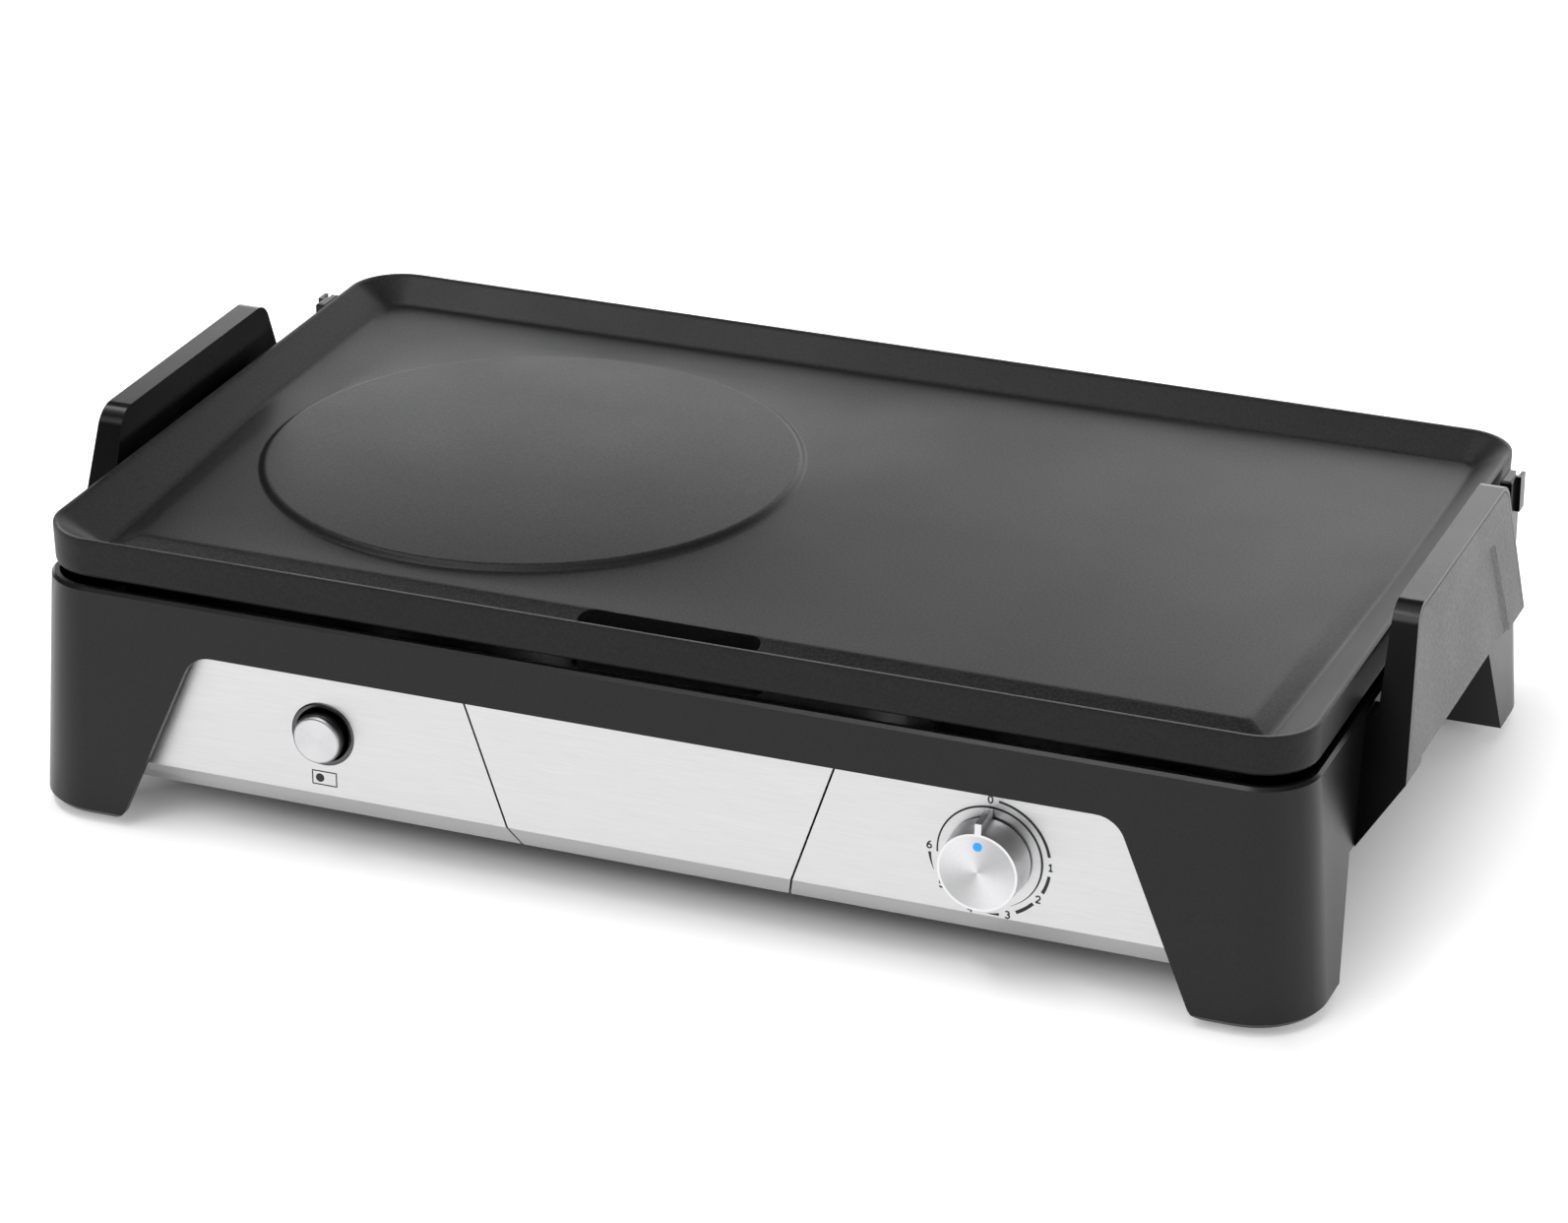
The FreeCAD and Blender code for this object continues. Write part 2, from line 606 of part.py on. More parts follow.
def inner_deck():
    """The floor under the heating elements, its posts, and the walls of the box behind the fascia."""
    body = new_body("inner_deck")
    inside = wall_x(s.deck_top) - s.wall - DECK_CLEAR
    inside_back = wall_y(s.deck_top) - s.wall - DECK_CLEAR
    turn = s.plate_corner
    deck_corners = [(-inside, s.box_back), (inside, s.box_back),
                    (inside, inside_back), (-inside, inside_back)]
    feature(body, "Pad", polygon(body, "XY_Plane", deck_corners, deck_under, {2: turn, 3: turn}),
            Length=s.deck_thick)
    box_height = s.deck_top - s.box_bottom
    for side in (-1, 1):
        inner = s.box_half * side
        outer = (s.box_half + s.wall) * side
        front_edge = s.fascia_y + s.chamfer_back + 2
        end = [(inner, front_edge), (outer, front_edge), (outer, s.box_back), (inner, s.box_back)]
        feature(body, "Pad", polygon(body, "XY_Plane", end, s.box_bottom), Length=box_height)
        shelf = [(inner, -inside_back), (inside * side, -inside_back),
                 (inside * side, s.box_back), (inner, s.box_back)]
        feature(body, "Pad", polygon(body, "XY_Plane", shelf, deck_under, {1: turn}), Length=s.deck_thick)
    for x, y in PLATE_POSTS:
        feature(body, "Pad", circle(body, "XY_Plane", (x, y), PLATE_POST_RADIUS, s.deck_top - 1),
                Length=s.pan_underside - PLATE_PAD - s.deck_top + 1)
    for x, y in REFLECTOR_POSTS:
        feature(body, "Pad", circle(body, "XY_Plane", (x, y), 5, s.deck_top - 1),
                Length=REFLECTOR_Z - s.deck_top + 1)
    back_wall = [(-s.box_half - s.wall, s.box_back), (s.box_half + s.wall, s.box_back),
                 (s.box_half + s.wall, s.box_back + s.wall), (-s.box_half - s.wall, s.box_back + s.wall)]
    feature(body, "Pad", polygon(body, "XY_Plane", back_wall, s.box_bottom), Length=box_height)
    for x, y in DECK_SCREWS:
        feature(body, "Pocket", circle(body, "XY_Plane", (x, y), 1.6, s.deck_top + 1), Length=8)


inner_deck()
deck_heads = [rod("Z", (x, y, s.deck_top), 3.2, 2) for x, y in DECK_SCREWS]
deck_shanks = [rod("Z", (x, y, s.deck_top - 5.4), 1.6, 5.8) for x, y in DECK_SCREWS]
part("deck_screws", fuse(*deck_heads, *deck_shanks))

# ---------------------------------------------------------------- steel fascia and drip tray

joint_lean = (s.joint_top - s.joint_bottom) / (s.arch_top - s.fascia_bottom)
chamfer_z = s.fascia_bottom - s.chamfer_drop
steel_back = s.fascia_y + s.steel
PANEL_TUCK = 3.0
PANEL_OVERLAP = 4.4
TRAY_TOP_GAP = 0.5
TRAY_WALL = 1.8
RAIL_GAP = 0.5


def joint_x(z):
    """Half width of the tray front at a height."""
    return s.joint_top - joint_lean * (s.arch_top - z)


def fascia_strip(start, end):
    """The folded steel strip between two sideways places."""
    top = s.arch_top + PANEL_TUCK
    inner_fold = s.fascia_bottom + s.steel * 0.3
    profile = [(s.fascia_y, top), (s.fascia_y, s.fascia_bottom),
               (s.fascia_y + s.chamfer_back, chamfer_z),
               (s.fascia_y + s.chamfer_back + s.steel * 0.82, chamfer_z + s.steel * 0.57),
               (steel_back, inner_fold), (steel_back, top)]
    return prism(polygon(None, "YZ_Plane", profile), "X", start, end)


def fascia_window(points):
    """The outline of one fascia piece seen from the front, as a cutter."""
    return prism(polygon(None, "XZ_Plane", points), "Y", s.fascia_y - 5, s.fascia_y + 20)


def control_panel(node, side, hole_x, hole_z, hole_radius):
    """One fixed steel panel, with its hole for a control."""
    top = s.arch_top + PANEL_TUCK
    bottom = chamfer_z - 1
    outer_top = s.arch_half + PANEL_OVERLAP
    outer_bottom = s.arch_half + s.arch_lean * (s.arch_top - bottom) + PANEL_OVERLAP
    window = [(side * (joint_x(bottom) + s.joint_gap), bottom), (side * outer_bottom, bottom),
              (side * outer_top, top), (side * (joint_x(top) + s.joint_gap), top)]
    reach = 230.0
    strip = fascia_strip(min(0, side * reach), max(0, side * reach))
    hole = rod("Y", (hole_x, s.fascia_y - 2, hole_z), hole_radius, 6)
    part(node, cut(common(strip, fascia_window(window)), hole))


control_panel("control_panel_left", -1, s.button_x, s.button_z, s.bezel_radius - 1.6)
control_panel("control_panel_right", 1, s.knob_x, s.knob_z, 5)

tray_front_top = s.arch_top - TRAY_TOP_GAP
tray_window = [(-(joint_x(chamfer_z - 1)) + s.joint_gap, chamfer_z - 1),
               (joint_x(chamfer_z - 1) - s.joint_gap, chamfer_z - 1),
               (joint_x(tray_front_top) - s.joint_gap, tray_front_top),
               (-(joint_x(tray_front_top)) + s.joint_gap, tray_front_top)]
TRAY_SCREWS = [(-30.0, 46.0), (30.0, 46.0)]
tray_front_strip = common(fascia_strip(-s.joint_top - 5, s.joint_top + 5), fascia_window(tray_window))
tray_studs = [rod("Y", (x, steel_back - 0.2, z), 3.2, TRAY_WALL + 0.1) for x, z in TRAY_SCREWS]
stud_bores = [rod("Y", (x, steel_back, z), 1.25, 4) for x, z in TRAY_SCREWS]
part("drip_tray_front", cut(fuse(tray_front_strip, *tray_studs), *stud_bores))

tray_back = steel_back + s.tray_length
tray_shell = box((-s.tray_half, s.tray_half), (steel_back, tray_back), (s.tray_bottom, s.tray_top))
tray_shell = rounded(tray_shell, 5, lambda e: near(e.Length, s.tray_top - s.tray_bottom)
                     and e.BoundBox.YMin > -100)
tray_hollow = box((-s.tray_half + TRAY_WALL, s.tray_half - TRAY_WALL),
                  (steel_back + TRAY_WALL, tray_back - TRAY_WALL),
                  (s.tray_bottom + TRAY_WALL, s.tray_top + 5))
tray_hollow = rounded(tray_hollow, 4, lambda e: e.BoundBox.ZMax < number(s.tray_top))
stud_holes = [rod("Y", (x, steel_back - 1, z), 3.2, 4) for x, z in TRAY_SCREWS]
part("drip_tray", cut(tray_shell, tray_hollow, *stud_holes))

screw_heads = [rod("Y", (x, steel_back + TRAY_WALL, z), 3.4, 1.6) for x, z in TRAY_SCREWS]
screw_shanks = [rod("Y", (x, steel_back, z), 1.25, TRAY_WALL + 0.8) for x, z in TRAY_SCREWS]
part("tray_front_screws", fuse(*screw_heads, *screw_shanks))

cover_front = s.fascia_y + s.chamfer_back + 2
cover_plate = box((-s.box_half - s.wall, s.box_half + s.wall), (cover_front, s.box_back + s.wall),
                  (s.box_bottom - 1.5, s.box_bottom))
COVER_SCREWS = [(x, y) for x in (-185.0, 0.0, 185.0) for y in (-130.0, -75.0)]
cover_vents = [box((x, x + 3), (-118, -92), (s.box_bottom - 3, s.box_bottom + 3))
               for sign in (-1, 1) for x in [sign * (90.0 + 9 * k) for k in range(5)]]
cover_holes = [rod("Z", (x, y, s.box_bottom - 3), 1.6, 6) for x, y in COVER_SCREWS]
part("bottom_cover", cut(cover_plate, *cover_vents, *cover_holes))
cover_heads = [rod("Z", (x, y, s.box_bottom - 3.1), 3.2, 1.6) for x, y in COVER_SCREWS]
cover_shanks = [rod("Z", (x, y, s.box_bottom - 2), 1.6, 8) for x, y in COVER_SCREWS]
part("bottom_cover_screws", fuse(*cover_heads, *cover_shanks))

for node, side in (("tray_rail_left", -1), ("tray_rail_right", 1)):
    low, high = s.tray_half - 5, s.tray_half + 5.5
    fence = s.tray_half + RAIL_GAP
    y_range = (cover_front + 2, s.box_back - 3)
    if side < 0:
        shelf = box((-high, -low), y_range, (s.box_bottom, s.tray_bottom - 0.3))
        guide = box((-high, -fence), y_range, (s.box_bottom, s.tray_bottom + 14))
    else:
        shelf = box((low, high), y_range, (s.box_bottom, s.tray_bottom - 0.3))
        guide = box((fence, high), y_range, (s.box_bottom, s.tray_bottom + 14))
    part(node, fuse(shelf, guide))

# ---------------------------------------------------------------- hot-zone button and its switch

button_front = s.fascia_y - 6.4
cap_back = s.fascia_y + 2
switch_front = s.fascia_y + 12
SPRING_WIRE = 0.4
SPRING_RADIUS = 4.4
SPRING_WELL = 5.0


def turned(node, axis_x, axis_z, profile, rounds=None):
    """A piece turned about an axis along Y; profile points are (radius, y)."""
    body = new_body(node)
    points = [(radius, y) for radius, y in profile]
    sketch = polygon(body, "XY_Plane", points, axis_z, rounds)
    bind(sketch, AttachmentOffset__Base__x=axis_x)
    spin = feature(body, "Revolution", sketch, Angle=360)
    spin.ReferenceAxis = (sketch, ["V_Axis"])
    return body


cap_inner = s.button_radius - 1.6
turned("zone_button", s.button_x, s.button_z,
       [(0, button_front), (s.button_radius, button_front), (s.button_radius, cap_back),
        (cap_inner, cap_back), (cap_inner, button_front + 2), (2.6, button_front + 2),
        (2.6, cap_back), (0, cap_back)], {1: 1.8})
turned("button_bezel", s.button_x, s.button_z,
       [(s.button_radius + 0.5, s.fascia_y + 2), (s.bezel_radius - 1.8, s.fascia_y - 0.4),
        (s.bezel_radius - 0.7, s.fascia_y - 0.5), (s.bezel_radius, s.fascia_y - 0.15),
        (s.bezel_radius, s.fascia_y), (s.bezel_radius - 1.7, s.fascia_y),
        (s.bezel_radius - 1.7, s.fascia_y + 5), (s.button_radius + 0.5, s.fascia_y + 5)])
plunger = rod("Y", (s.button_x, cap_back, s.button_z), 2.5, 12.5)
part("button_plunger", plunger)
switch_case = box((s.button_x - 13, s.button_x + 13), (switch_front, switch_front + 26),
                  (s.button_z - 10, s.button_z + 10))
plunger_bore = rod("Y", (s.button_x, switch_front - 1, s.button_z), 3, 10)
spring_well = rod("Y", (s.button_x, switch_front - 1, s.button_z), 6, SPRING_WELL + 1)
bracket_arms = [box((s.button_x + a, s.button_x + a + 2), (steel_back, switch_front),
                    (s.button_z - 8, s.button_z + 8)) for a in (-16, 14)]
bracket_feet = [box((s.button_x + a, s.button_x + a + 4), (switch_front - 2, switch_front),
                    (s.button_z - 8, s.button_z + 8)) for a in (-16, 12)]
part("switch_body", cut(switch_case, plunger_bore, spring_well))
part("switch_bracket", fuse(*bracket_arms, *bracket_feet))
spring_start = button_front + 2 + SPRING_WIRE
spring_end = switch_front + SPRING_WELL - SPRING_WIRE
coil = doc.addObject("Part::Helix", "Coil")
bind(coil, Pitch=2.4, Height=spring_end - spring_start, Radius=SPRING_RADIUS)
coil.Placement = FreeCAD.Placement(Vector(0, 0, 0), FreeCAD.Rotation(Vector(1, 0, 0), -90))
at(coil, s.button_x, spring_start, s.button_z)
wire_end = doc.addObject("Part::Circle", "WireEnd")
bind(wire_end, Radius=SPRING_WIRE)
at(wire_end, s.button_x + SPRING_RADIUS, spring_start, s.button_z)
spring = doc.addObject("Part::Sweep", "Spring")
spring.Sections = [wire_end]
spring.Spine = coil
spring.Solid = True
spring.Frenet = True
part("button_spring", spring)

# ---------------------------------------------------------------- thermostat and its knob

knob_back = s.fascia_y - 1
knob_front = s.fascia_y - s.knob_length
SHAFT_RADIUS = 3.0
KNOB_WALL = 1.8
FACE_THICK = 0.8
face_radius = s.knob_radius - 1.7
knob_body = turned("thermostat_knob", s.knob_x, s.knob_z,
                   [(0, knob_front + FACE_THICK), (face_radius, knob_front + FACE_THICK),
                    (face_radius, knob_front), (s.knob_radius - 0.7, knob_front),
                    (s.knob_radius, knob_back), (s.knob_radius - KNOB_WALL, knob_back),
                    (s.knob_radius - KNOB_WALL - 0.5, knob_front + 3), (6, knob_front + 3),
                    (6, knob_back + 0.5), (SHAFT_RADIUS, knob_back + 0.5),
                    (SHAFT_RADIUS, knob_front + 4), (0, knob_front + 4)])
fin = [(knob_back, s.knob_z + s.knob_radius - 1), (knob_back, s.knob_z + s.knob_radius + 4),
       (knob_front + 0.4, s.knob_z + s.knob_radius + 3.2), (knob_front, s.knob_z + s.knob_radius - 1)]
feature(knob_body, "Pad", polygon(knob_body, "YZ_Plane", fin, s.knob_x - 1.3), Length=2.6)
LENS_UP = 10.3
LENS_RADIUS = 1.7
lens_hole = circle(knob_body, "XZ_Plane", (s.knob_x, s.knob_z + LENS_UP), LENS_RADIUS, -knob_front - 2)
lens_cut = feature(knob_body, "Pocket", lens_hole, Length=10)
lens_cut.Reversed = True
lens_seat = (s.knob_x, knob_front - 0.2, s.knob_z + LENS_UP)
face_disc = rod("Y", (s.knob_x, knob_front, s.knob_z), face_radius, FACE_THICK)
part("knob_face", cut(face_disc, rod("Y", (lens_seat[0], knob_front - 1, lens_seat[2]), LENS_RADIUS, 4)))
part("indicator_lens", rod("Y", lens_seat, LENS_RADIUS, 2.2))
shaft_start = knob_front + 4.2
part("thermostat_shaft", rod("Y", (s.knob_x, shaft_start, s.knob_z), SHAFT_RADIUS, 20))
thermo_front = steel_back + 1.5
THERMO_DEPTH = 30.0
thermo_case = box((s.knob_x - 17, s.knob_x + 17), (thermo_front, thermo_front + THERMO_DEPTH),
                  (s.knob_z - 15, s.knob_z + 15))
thermo_neck = rod("Y", (s.knob_x, s.fascia_y, s.knob_z), 4.6, 5)
thermo_bore = rod("Y", (s.knob_x, s.fascia_y - 1, s.knob_z), SHAFT_RADIUS + 0.08, 16)
part("thermostat_body", cut(fuse(thermo_case, thermo_neck), thermo_bore))
bracket_plate = box((s.knob_x - 24, s.knob_x + 24), (steel_back, thermo_front),
                    (s.knob_z - 14, s.knob_z + 14))
THERMO_SCREWS = [(s.knob_x + offset, s.knob_z) for offset in (-20.5, 20.5)]
bracket_bores = [rod("Y", (x, steel_back - 1, z), 1.5, 4) for x, z in THERMO_SCREWS]
part("thermostat_bracket", cut(bracket_plate, rod("Y", (s.knob_x, steel_back - 1, s.knob_z), 4.6, 5),
                               *bracket_bores))
bracket_heads = [rod("Y", (x, thermo_front, z), 2.8, 1.6) for x, z in THERMO_SCREWS]
bracket_shanks = [rod("Y", (x, steel_back, z), 1.5, 2.5) for x, z in THERMO_SCREWS]
part("thermostat_screws", fuse(*bracket_heads, *bracket_shanks))

# ---------------------------------------------------------------- heating elements and inner metalwork

ELEMENT_RADIUS = 3.3
element_z = s.pan_underside - ELEMENT_RADIUS - 0.6
BRACKET_THICK = 1.2
REFLECTOR_SHEET = 0.8
REFLECTOR_X = (-228.0, 228.0)
REFLECTOR_Y = (-110.0, 127.0)


def tube(node_body, plane, points, offset, bend, radius, start_plane, start_uv, start_offset):
    """A round tube along a path of straight runs and equal bends."""
    path = polygon(node_body, plane, points, offset, {i: bend for i in range(1, len(points) - 1)}, False)
    ring = circle(node_body, start_plane, start_uv, radius, start_offset)
    pipe = node_body.newObject("PartDesign::AdditivePipe", "Tube")
    pipe.Profile = ring
    pipe.Spine = (path, [f"Edge{i + 1}" for i in range(2 * len(points) - 3)])
    node_body.Tip = pipe
    return pipe


main_runs = [(20, 118), (20, -95), (76, -95), (76, 90), (132, 90), (132, -95), (188, -95), (188, 118)]
main_body = new_body("main_heating_element")
tube(main_body, "XY_Plane", main_runs, element_z, 26, ELEMENT_RADIUS, "XZ_Plane", (20, element_z), -118)

ring = doc.addObject("Part::Torus", "Ring")
ZONE_RING = 72.0
RING_GAP = 24.0
bind(ring, Radius1=ZONE_RING, Radius2=ELEMENT_RADIUS, Angle3=360 - RING_GAP)
ring.Placement = FreeCAD.Placement(Vector(0, 0, 0), FreeCAD.Rotation(Vector(0, 0, 1), 90 + RING_GAP / 2))
at(ring, s.zone_x, s.zone_y, element_z)
gap_angle = math.radians(90 - RING_GAP / 2)
leads = [rod("Y", (s.zone_x + sign * ZONE_RING * math.cos(gap_angle),
                   s.zone_y + ZONE_RING * math.sin(gap_angle) - 1, element_z), ELEMENT_RADIUS, 48)
         for sign in (-1, 1)]
part("zone_heating_element", fuse(ring, *leads))

strips = []
for x, y in (((12, 196), -50), ((12, 196), 50), ((-192, -29), -30), ((-192, -29), 30)):
    rest_z = element_z - ELEMENT_RADIUS - BRACKET_THICK
    reach = (y - 4, y + 4)
    bar = box(x, reach, (rest_z, rest_z + BRACKET_THICK))
    legs = [box((end, end + BRACKET_THICK), reach, (REFLECTOR_Z + REFLECTOR_SHEET, rest_z))
            for end in (x[0], x[1] - BRACKET_THICK)]
    strips.append(fuse(bar, *legs))
part("element_brackets", fuse(*strips))

pan_outer = box(REFLECTOR_X, REFLECTOR_Y, (REFLECTOR_Z, 90))
pan_outer = rounded(pan_outer, 12, lambda e: near(e.Length, 90 - REFLECTOR_Z))
pan_inner = box([v + REFLECTOR_SHEET * t for v, t in zip(REFLECTOR_X, (1, -1))],
                [v + REFLECTOR_SHEET * t for v, t in zip(REFLECTOR_Y, (1, -1))],
                (REFLECTOR_Z + REFLECTOR_SHEET, 95))
pan_inner = rounded(pan_inner, 11.2, lambda e: near(e.Length, 95 - REFLECTOR_Z - REFLECTOR_SHEET))
post_holes = [rod("Z", (x, y, REFLECTOR_Z - 5), PLATE_POST_RADIUS + 3, 40) for x, y in PLATE_POSTS]
part("heat_reflector", cut(pan_outer, pan_inner, *post_holes))

pads = []
for x, y in PLATE_POSTS:
    top = s.pan_underside - PLATE_PAD
    cap = rod("Z", (x, y, top - 4), PLATE_POST_RADIUS + 2, PLATE_PAD + 4)
    pads.append(cut(cap, rod("Z", (x, y, top - 6), PLATE_POST_RADIUS, 6)))
part("plate_pads", fuse(*pads))

PROBE_X = 104.0
probe_body = new_body("thermostat_probe")
tube(probe_body, "YZ_Plane", [(-122, s.knob_z), (-122, 97.4), (-62, 97.4)], PROBE_X, 14, 0.9,
     "XY_Plane", (PROBE_X, -122), s.knob_z)
bulb = circle(probe_body, "XZ_Plane", (PROBE_X, 97.4), 2.8, 62)
bulb_pad = feature(probe_body, "Pad", bulb, Length=60)
bulb_pad.Reversed = True
boss = circle(probe_body, "YZ_Plane", (-122, s.knob_z), 1.6, PROBE_X - 1.6)
feature(probe_body, "Pad", boss, Length=s.knob_x - 17 - PROBE_X + 1.6)

fuse_y = 62.0
fuse_z = REFLECTOR_Z + REFLECTOR_SHEET
fuse_case = rod("X", (-14, fuse_y, fuse_z + 4.4), 4, 28)
fuse_feet = [box((x, x + 2), (fuse_y - 6, fuse_y + 6), (fuse_z, fuse_z + 4)) for x in (-8, 6)]
part("thermal_fuse", fuse(fuse_case, *fuse_feet))

block_x, block_y = (150.0, 184.0), (98.0, 122.0)
block_base = box(block_x, block_y, (s.deck_top, s.deck_top + 7))
rib_z = (s.deck_top + 6, s.deck_top + 13)
block_ribs = [box((x, x + 1.6), block_y, rib_z) for x in (150.0, 160.8, 171.6, 182.4)]
part("terminal_block", fuse(block_base, *block_ribs))
terminal_places = [(x, y) for x in (156.2, 167.0, 177.8) for y in (103.0, 117.0)]
terminal_heads = [rod("Z", (x, y, s.deck_top + 7), 2.4, 2.2) for x, y in terminal_places]
part("terminal_screws", fuse(*terminal_heads))

gland_wall = wall_y(GLAND_Z)
gland_solid = fuse(rod("Y", (GLAND_X, gland_wall + 0.5, GLAND_Z), 10, 2.5),
                   rod("Y", (GLAND_X, gland_wall + 2.5, GLAND_Z), 8, s.gland_end - gland_wall - 2.5, 6),
                   rod("Y", (GLAND_X, gland_wall - 10, GLAND_Z), 7.1, 11))
part("cord_gland", cut(gland_solid, rod("Y", (GLAND_X, gland_wall - 12, GLAND_Z), 3.8, 30)))
clamp = box((GLAND_X - 12, GLAND_X + 12), (130.0, 138.0), (s.deck_top, GLAND_Z + 7))
clamp_slot = rod("Y", (GLAND_X, 128.0, GLAND_Z), 3.8, 12)
part("cord_clamp", cut(clamp, clamp_slot))

WIRE_RADIUS = 1.5
WIRE_RUNS = {
    "supply_wires": (60.0, [(159.0, 98.0), (159.0, -50.0), (130.0, -84.0), (130.0, -113.0)]),
    "zone_wires": (57.5, [(122.0, -112.0), (122.0, -56.0), (-132.0, -56.0), (-132.0, -107.5)]),
}
for node, (wire_z, runs) in WIRE_RUNS.items():
    start_x, start_y = runs[0]
    tube(new_body(node), "XY_Plane", runs, wire_z, 12, WIRE_RADIUS, "XZ_Plane", (start_x, wire_z), -start_y)

# ---------------------------------------------------------------- side handles

handle_rise = s.handle_top - s.handle_foot
face_lean = (s.handle_out_foot - s.handle_out_top) / handle_rise
COVER_THICK = 2.6
FRAME_BORDER = 1.8
FRAME_PLATE = 4.6
STRUT_WIDE = 12.0
GRIP_TOP = 31.4
COVER_CLEAR = 0.3


def face_x(z):
    """Sideways place of a handle's outer face at a height."""
    return s.handle_out_top + face_lean * (s.handle_top - z)


def side_trapezoid(front, front_lean, rear, rear_lean, top, bottom, radius):
    """A trapezoid seen from the side, as a cutter; its reaches are those at the handle's top."""
    def reach(at_top, lean, z):
        return at_top + lean * (s.handle_top - z)

    points = [(-reach(front, front_lean, bottom), bottom), (reach(rear, rear_lean, bottom), bottom),
              (reach(rear, rear_lean, top), top), (-reach(front, front_lean, top), top)]
    return prism(polygon(None, "YZ_Plane", points, 0, {2: radius, 3: radius}), "X", 230, 290)


def handle_outline(inset, top, bottom, radius):
    """The outline of the right handle seen from the side, moved inwards; its short end faces the front."""
    return side_trapezoid(s.handle_short - inset, s.handle_short_lean, s.handle_long - inset,
                          s.handle_long_lean, top, bottom, radius)


def handle_slab(points):
    """A section through a handle, drawn out along its length."""
    return prism(polygon(None, "XZ_Plane", points), "Y", -110, 110)


def turned_round(solid):
    """The same solid turned half round the upright axis, because both handles come from one mould."""
    return mirrored(mirrored(solid), "Y")


frame_section = [(s.handle_in, s.handle_top), (face_x(s.handle_top), s.handle_top),
                 (face_x(s.handle_foot), s.handle_foot), (wall_x(s.strut_foot) + 0.05, s.strut_foot),
                 (wall_x(s.base_top - 2) + 0.05, s.base_top - 2), (s.handle_in, s.base_top - 2)]
frame_blank = common(handle_slab(frame_section), handle_outline(0, s.handle_top, s.strut_foot - 5, 10))
hollow_top = s.handle_top - GRIP_TOP
hollow_section = [(240, 30), (face_x(30) - FRAME_PLATE, 30), (face_x(hollow_top) - FRAME_PLATE, hollow_top),
                  (240, hollow_top)]
frame_hollow = common(handle_slab(hollow_section), handle_outline(STRUT_WIDE, hollow_top, 20, 6))
seat_top = s.handle_top - FRAME_BORDER
seat_section = [(face_x(30) - COVER_THICK - 0.2, 30), (300, 30), (300, seat_top),
                (face_x(seat_top) - COVER_THICK - 0.2, seat_top)]
frame_seat = common(handle_slab(seat_section), handle_outline(FRAME_BORDER, seat_top, 20, 8.4))
below_face = box((240, 300), (-110, 110), (20, s.handle_foot))
frame_notch = common(below_face, handle_outline(STRUT_WIDE, s.handle_foot + 5, 15, 1))
bolt_bores = [rod("X", (wall_x(z) - 6, y, z), 2, 12) for y, z in HANDLE_BOLTS]
frame_right = cut(frame_blank, frame_hollow, frame_seat, frame_notch, *bolt_bores)

cover_top = seat_top - COVER_CLEAR
cover_section = [(face_x(s.handle_foot) - COVER_THICK, s.handle_foot), (face_x(s.handle_foot), s.handle_foot),
                 (face_x(cover_top), cover_top), (face_x(cover_top) - COVER_THICK, cover_top)]
cover_inset = FRAME_BORDER + COVER_CLEAR
cover_blank = common(handle_slab(cover_section), handle_outline(cover_inset, cover_top, 60, 8.1))
FIELD_DROP = 16.0
FIELD_REACH = 44.0
FIELD_DEPTH = 1.4
FIELD_SLOPE = 5.0
FIELD_TOP_SLOPE = 2.0


def field_section(body, z, depth):
    """A level section through the sunk field of a handle cover, sloped at both ends."""
    reach = FIELD_REACH + s.handle_short_lean * (s.handle_top - FIELD_DROP - z)
    outside = face_x(z) + 1
    points = [(outside, -reach - FIELD_SLOPE / 2), (face_x(z) - depth, -reach + FIELD_SLOPE / 2),
              (face_x(z) - depth, reach - FIELD_SLOPE / 2), (outside, reach + FIELD_SLOPE / 2)]
    return polygon(body, "XY_Plane", points, z)


def sunk_field():
    """The shallow field in a handle cover, open at the cover's lower edge, as a cutter."""
    body = doc.addObject("PartDesign::Body", "sunk_field")
    top = s.handle_top - FIELD_DROP
    loft(body, "AdditiveLoft", field_section(body, s.handle_foot - 5, FIELD_DEPTH),
         field_section(body, top - FIELD_TOP_SLOPE, FIELD_DEPTH))
    loft(body, "AdditiveLoft", field_section(body, top - FIELD_TOP_SLOPE, FIELD_DEPTH),
         field_section(body, top, 0.02))
    return body


cover_right = cut(cover_blank, sunk_field())

part("handle_frame_right", frame_right)
part("handle_frame_left", turned_round(frame_right))
part("handle_cover_right", cover_right)
part("handle_cover_left", turned_round(cover_right))
bolt_heads = [rod("X", (wall_x(z) - 5.4, y, z), 3.8, 2.2) for y, z in HANDLE_BOLTS]
bolt_shanks = [rod("X", (wall_x(z) - 4, y, z), 1.95, 9.5) for y, z in HANDLE_BOLTS]
bolts_right = fuse(*bolt_heads, *bolt_shanks)
part("handle_screws_right", bolts_right)
part("handle_screws_left", turned_round(bolts_right))

# ---------------------------------------------------------------- splash-guard clips and feet

CLIP_DROP = 12.0
CLIP_Y = (106.0, 119.0)
clip_x = wall_x(s.base_top - CLIP_DROP) + 0.05
clip_block = box((clip_x, clip_x + 4.7), CLIP_Y, (s.base_top - CLIP_DROP, s.rim_top - 1.5))
clip_block = rounded(clip_block, 1, lambda e: near(e.BoundBox.ZMin, s.rim_top - 1.5))
clip_flange = box((clip_x + 4.5, clip_x + 6.7), (112.5, 119.0), (99.0, 113.5))
clip_notch = box((clip_x + 3, clip_x + 5.2), (114.5, 121.0), (107.0, 118.0))
clip_right = cut(fuse(clip_block, clip_flange), clip_notch)
part("splash_guard_clip_right", clip_right)
part("splash_guard_clip_left", mirrored(clip_right))

